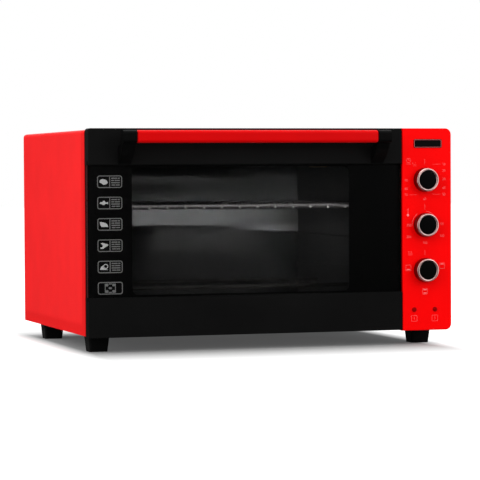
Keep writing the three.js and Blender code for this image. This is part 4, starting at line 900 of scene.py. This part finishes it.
class OVEN_OT_panel(bpy.types.Operator):
    """Finish the control panel and build its printed marks and blank badge"""
    bl_idname = "oven.panel"
    bl_label = "Control panel"

    def execute(self, context):
        finishes = context.scene.oven_finishes
        sizes = context.scene.oven_sizes
        wear(coated("panel red moulding", finishes.panel_red, 0.36, 0.03, 1.5, 0.008),
             "control_panel")
        front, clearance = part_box("control_panel")[0].y, 0.01 * MM
        pink = printed("panel print pink", finishes.mark_pink)
        groups = (("timer_marks", draw_timer, front_middle("timer_knob")),
                  ("thermostat_marks", draw_thermostat, front_middle("thermostat_knob")),
                  ("selector_marks", draw_selector, front_middle("selector_knob")),
                  ("lamp_marks", draw_lamps, (0, 0)))
        for name, draw, origin in groups:
            marks = Stencil(front - clearance, sizes.mark_depth, origin)
            draw(marks, sizes)
            piece(name, marks.mesh, pink, "casing")

        badge = Stencil(front, sizes.badge_depth)
        badge.plate(rounded_box(BADGE_MIDDLE, sizes.badge_width, sizes.badge_height,
                                2.2 * MM, 5))
        piece("blank_badge", badge.mesh,
              coated("badge black", paint("0A0909"), 0.3, 0.04, 0.5, 0.005, 0.1),
              "casing")
        rim, margin = Stencil(front - sizes.badge_depth, sizes.mark_depth), 2 * MM
        rim.ribbon(rounded_box(BADGE_MIDDLE, sizes.badge_width - margin,
                               sizes.badge_height - margin, 1.6 * MM, 5), 0.32 * MM, closed=True)
        piece("badge_outline", rim.mesh, pink, "casing")
        return {"FINISHED"}


class OVEN_OT_controls(bpy.types.Operator):
    """Finish the lamps, the switches behind the panel, the wiring and the hinges"""
    bl_idname = "oven.controls"
    bl_label = "Controls and hinges"

    def execute(self, context):
        finishes = context.scene.oven_finishes
        wear(lens_plastic("indicator lens red", finishes.lens_red), *LAMPS)
        wear(zinc_plate("timer case zinc", finishes.zinc_grey), "timer_body")
        wear(coated("unglazed ceramic", paint("E4DED0"), 0.55, 0.3, 1.2, 0.02, 0.05),
             "thermostat_body", "selector_body", "terminal_block")
        wear(woven_sleeve("silicone wire sleeve", paint("343435")), *WIRES)
        steel = bare_metal("hinge steel", paint("A9ABAE"), 0.3, 0.9, 0.008)
        wear(steel, *(f"hinge_{part}_{side}" for part, side
                      in product(("bracket", "pin", "spring", "arm"), ("left", "right"))))
        return {"FINISHED"}


# Lamps that light the whole oven: name, where one hangs and its side (m)
OVEN_LAMPS = (
    ("top_lamp", (0.1, 0.3, 2.2), 2.4),
    ("left_lamp", (-2.4, -1.6, 1.3), 1.6),
    ("right_lamp", (1.9, -2.6, 1.2), 1.6),
)
LAMPS_AIM = Vector((0, 0, 0.12))

# Light on the cavity's rear wall, for each setting: share of it, left, right, lower and upper
# edge (mm), the lamp's spread (degrees) and how far in front of the wall it hangs (m)
WALL_LIGHTS = {
    "patch_light": (
        (1, -116, 47, 183, 212, 1, 0.2), (0.36, 47, 154, 171, 210, 1, 0.2),
        (0.34, 154, 179, 171, 184, 1, 0.2), (0.18, 154, 179, 184, 210, 1, 0.2),
        (0.64, 47, 75, 187, 211, 1, 0.3), (0.6, 75, 110, 193, 211, 1, 0.3),
        (0.5, 110, 150, 202, 211, 1, 0.3), (0.9, 100, 154, 173, 181, 1, 0.2)),
    "soft_light": (
        (1.5, -116, 168, 250, 264, 6, 0.2), (1.4, -116, 179, 222, 242, 4, 0.2),
        (1.5, -80, 110, 140, 182, 8, 0.35), (0.55, -95, 115, 50, 140, 14, 0.35)),
}
# How far a lamp's light goes to the right and up for each step back into the oven
TOWARDS_REAR_WALL = (0.268, -0.034)
TOWARDS_RIGHT_WALL = (0.577, -0.038)

# Dark cards just clear of the floor: name, lower left and upper right corner (m)
CARDS = (
    ("side_card", (-1.2, 1.5, 0.002), (-0.3, 1.5, 1.1)),
    ("side_floor_card", (-1.2, -0.3, 0.002), (-0.31, 1.5, 0.002)),
    ("front_card", (-0.3, -0.9, 0.002), (0.75, -0.9, 0.45)),
    ("front_floor_card", (-0.3, -0.9, 0.002), (0.6, -0.26, 0.002)),
)
FLOOR_REACH = 14  # m
SENSOR_WIDTH = 36  # mm
# The floor's glow is a painted shadow round the oven: faint between these corners and fading to
# white beyond them (m), this many times faster to the left and right
SHADE_LOW, SHADE_HIGH = Vector((-0.288, -0.222, 0)), Vector((0.25, 0.17, 0))
SHADE_GLOW, SHADE_FADE, SIDEWAYS = 0.065, 0.23, 5.4


def seen(nodes):
    """1 for a ray from the camera or off a mirror or glass, which sees the plain background."""
    path = nodes.node("ShaderNodeLightPath")
    total = path.outputs["Is Camera Ray"]
    for name in ("Is Glossy Ray", "Is Transmission Ray"):
        total = nodes.reckon("MAXIMUM", total, path.outputs[name])
    return total


def stage_sheet(name, low, high, material):
    """Flat sheet of the studio from a lower left to an upper right corner."""
    shape = bmesh.new()
    shape.faces.new([shape.verts.new(corner) for corner in (
        low, (high[0], *low[1:]), high, (low[0], *high[1:]))])
    sheet = new_solid(name, shape, material)
    return sheet


def hang_lamp(name, power, place, sight, width, height, spread=math.pi):
    """Oblong lamp at a place, which shines along a line of sight."""
    light = bpy.data.lights.new(name, "AREA")
    light.shape = "RECTANGLE"
    light.energy, light.size, light.size_y, light.spread = power, width, height, spread
    lamp = new_object(name, light)
    turn = sight.to_track_quat("-Z", "Y").to_matrix().to_4x4()
    lamp.matrix_world = Matrix.Translation(place) @ turn
    lamp.visible_camera = False


def shine_on(name, power, target, size, spread, away, slopes):
    """Hang a lamp (m) away from a target (mm), as large as the patch that it lights (mm)."""
    sight = Vector((slopes[0], 1, slopes[1])).normalized()
    hang_lamp(name, power, Vector(target) * MM - away * sight, sight, size[0] * MM,
              size[1] * MM, math.radians(spread))


class OVEN_OT_studio(bpy.types.Operator):
    """Build the floor, the lamps, the dark cards, the plain sky and the camera"""
    bl_idname = "oven.studio"
    bl_label = "Studio"

    def execute(self, context):
        studio = context.scene.oven_studio
        self.lay_floor()
        self.light_sky(context, studio.sky_strength)
        self.light_oven(studio)
        self.light_cavity(studio)
        self.stand_cards()
        self.place_camera(context, studio)
        context.scene.view_settings.view_transform = "Standard"
        return {"FINISHED"}

    def lay_floor(self):
        """Pale floor that keeps the oven's shadow, deepened by a painted shadow: its glow stays
        faint round the oven and fades to white away from it.
        """
        finish = Finish("studio floor white")
        place = finish.stretched((1, 1, 1), (SHADE_LOW + SHADE_HIGH) / 2)
        away = finish.reckon("ABSOLUTE", place, vector=True)
        past = finish.reckon("SUBTRACT", away, (SHADE_HIGH - SHADE_LOW) / 2, vector=True)
        outside = finish.reckon("MAXIMUM", past, (0, 0, 0), vector=True)
        steeper = finish.reckon("MULTIPLY", outside, (SIDEWAYS, 1, 1), vector=True)
        distance = finish.reckon("LENGTH", steeper, vector=True)
        # Painted shadow: the glow is faint within the corners and grows to white outside them
        painted_shadow_glow = finish.spread(distance, SHADE_GLOW, 1, 0, SHADE_FADE)
        matte = finish.node("ShaderNodeBsdfDiffuse",
                            Color=finish.tones(finish.noise(400), (1, 1, 1), 0.3, 0.31))
        light = finish.node("ShaderNodeEmission", Color=(1, 1, 1),
                            Strength=finish.reckon("MULTIPLY", painted_shadow_glow, seen(finish)))
        both = finish.node("ShaderNodeAddShader")
        finish.feed(both.inputs[0], matte.outputs["BSDF"])
        finish.feed(both.inputs[1], light.outputs["Emission"])
        stage_sheet("studio_floor", (-FLOOR_REACH, -FLOOR_REACH, 0),
                    (FLOOR_REACH, FLOOR_REACH, 0), finish.done(both.outputs["Shader"]))

    def light_sky(self, context, strength):
        world = bpy.data.worlds.new("studio sky")
        world.use_nodes = True
        sky = Nodes(world.node_tree)
        level = sky.spread(seen(sky), strength, 1, 0, 1)
        back = sky.node("ShaderNodeBackground", Color=(1, 1, 1), Strength=level)
        sky.node("ShaderNodeOutputWorld", Surface=back.outputs["Background"])
        context.scene.world = world

    def light_oven(self, studio):
        for name, place, side in OVEN_LAMPS:
            hang_lamp(name, getattr(studio, name), place, LAMPS_AIM - Vector(place), side, side)

    def light_cavity(self, studio):
        """Small lamps: one before the door for the right wall, the others all behind it."""
        shine_on("wall_fill", studio.wall_fill, (160, 80, 170), (180, 160), 24, 0.62,
                 TOWARDS_RIGHT_WALL)
        low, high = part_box("wire_rack")
        rail = ((low.x + high.x) / 2 / MM, low.y / MM, high.z / MM - 4)
        shine_on("rail_lamp", studio.rail_lamp, rail, (420, 8), 60, 0.012, (0, 0))
        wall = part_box("oven_cavity")[1].y / MM - 1.5
        lights = [(getattr(studio, setting), *light)
                  for setting, group in WALL_LIGHTS.items() for light in group]
        for number, (level, share, left, right, low, high, spread, away) in enumerate(lights):
            width, height = right - left, high - low
            shine_on(f"window_light_{number}", share * level * width * height * MM * MM,
                     ((left + right) / 2, wall, (low + high) / 2), (width, height), spread,
                     away, TOWARDS_REAR_WALL)

    def stand_cards(self):
        """Dark cards that only gloss can see keep the enamel, mouldings and glass deep."""
        finish = Finish("dark card cloth")
        weave = finish.tones(finish.noise(20), (1, 1, 1), 0.004, 0.006)
        cloth = finish.node("ShaderNodeBsdfDiffuse", Color=weave)
        dark = finish.done(cloth.outputs["BSDF"])
        for name, low, high in CARDS:
            card = stage_sheet(name, low, high, dark)
            card.visible_camera = card.visible_diffuse = card.visible_shadow = False
            card.visible_transmission = card.visible_volume_scatter = False

    def place_camera(self, context, studio):
        lens = bpy.data.cameras.new("photo_camera")
        lens.lens, lens.sensor_width = studio.camera_lens, SENSOR_WIDTH
        camera = new_object("photo_camera", lens)
        camera.matrix_world = (Matrix.Translation(studio.camera_place)
                               @ Matrix.Rotation(-studio.camera_yaw, 4, "Z")
                               @ Matrix.Rotation(math.pi / 2 - studio.camera_pitch, 4, "X")
                               @ Matrix.Rotation(-studio.camera_roll, 4, "Z"))
        context.scene.camera = camera


OPERATORS = (OVEN_OT_studio, OVEN_OT_casing, OVEN_OT_cavity, OVEN_OT_door, OVEN_OT_glass_print,
             OVEN_OT_handle, OVEN_OT_knobs, OVEN_OT_panel, OVEN_OT_controls)
SETTINGS = {"oven_finishes": OvenFinishes, "oven_sizes": OvenSizes, "oven_studio": OvenStudio}


class OVEN_PT_sidebar(bpy.types.Panel):
    """Lists the oven's pieces and their settings"""
    bl_idname = "OVEN_PT_sidebar"
    bl_label = "Mini oven"
    bl_space_type = "VIEW_3D"
    bl_region_type = "UI"
    bl_category = "Mini oven"

    def draw(self, context):
        layout = self.layout
        for operator in OPERATORS:
            layout.operator(operator.bl_idname)
        for group, kind in SETTINGS.items():
            box = layout.box()
            for name in kind.__annotations__:
                box.prop(getattr(context.scene, group), name)


CLASSES = (*SETTINGS.values(), *OPERATORS, OVEN_PT_sidebar)


def register():
    for kind in CLASSES:
        bpy.utils.register_class(kind)
    for group, kind in SETTINGS.items():
        setattr(bpy.types.Scene, group, PointerProperty(type=kind))


def unregister():
    for group in SETTINGS:
        delattr(bpy.types.Scene, group)
    for kind in reversed(CLASSES):
        bpy.utils.unregister_class(kind)


def main():
    register()
    for operator in OPERATORS:
        group, name = operator.bl_idname.split(".")
        getattr(getattr(bpy.ops, group), name)()


if __name__ == "__main__":
    main()
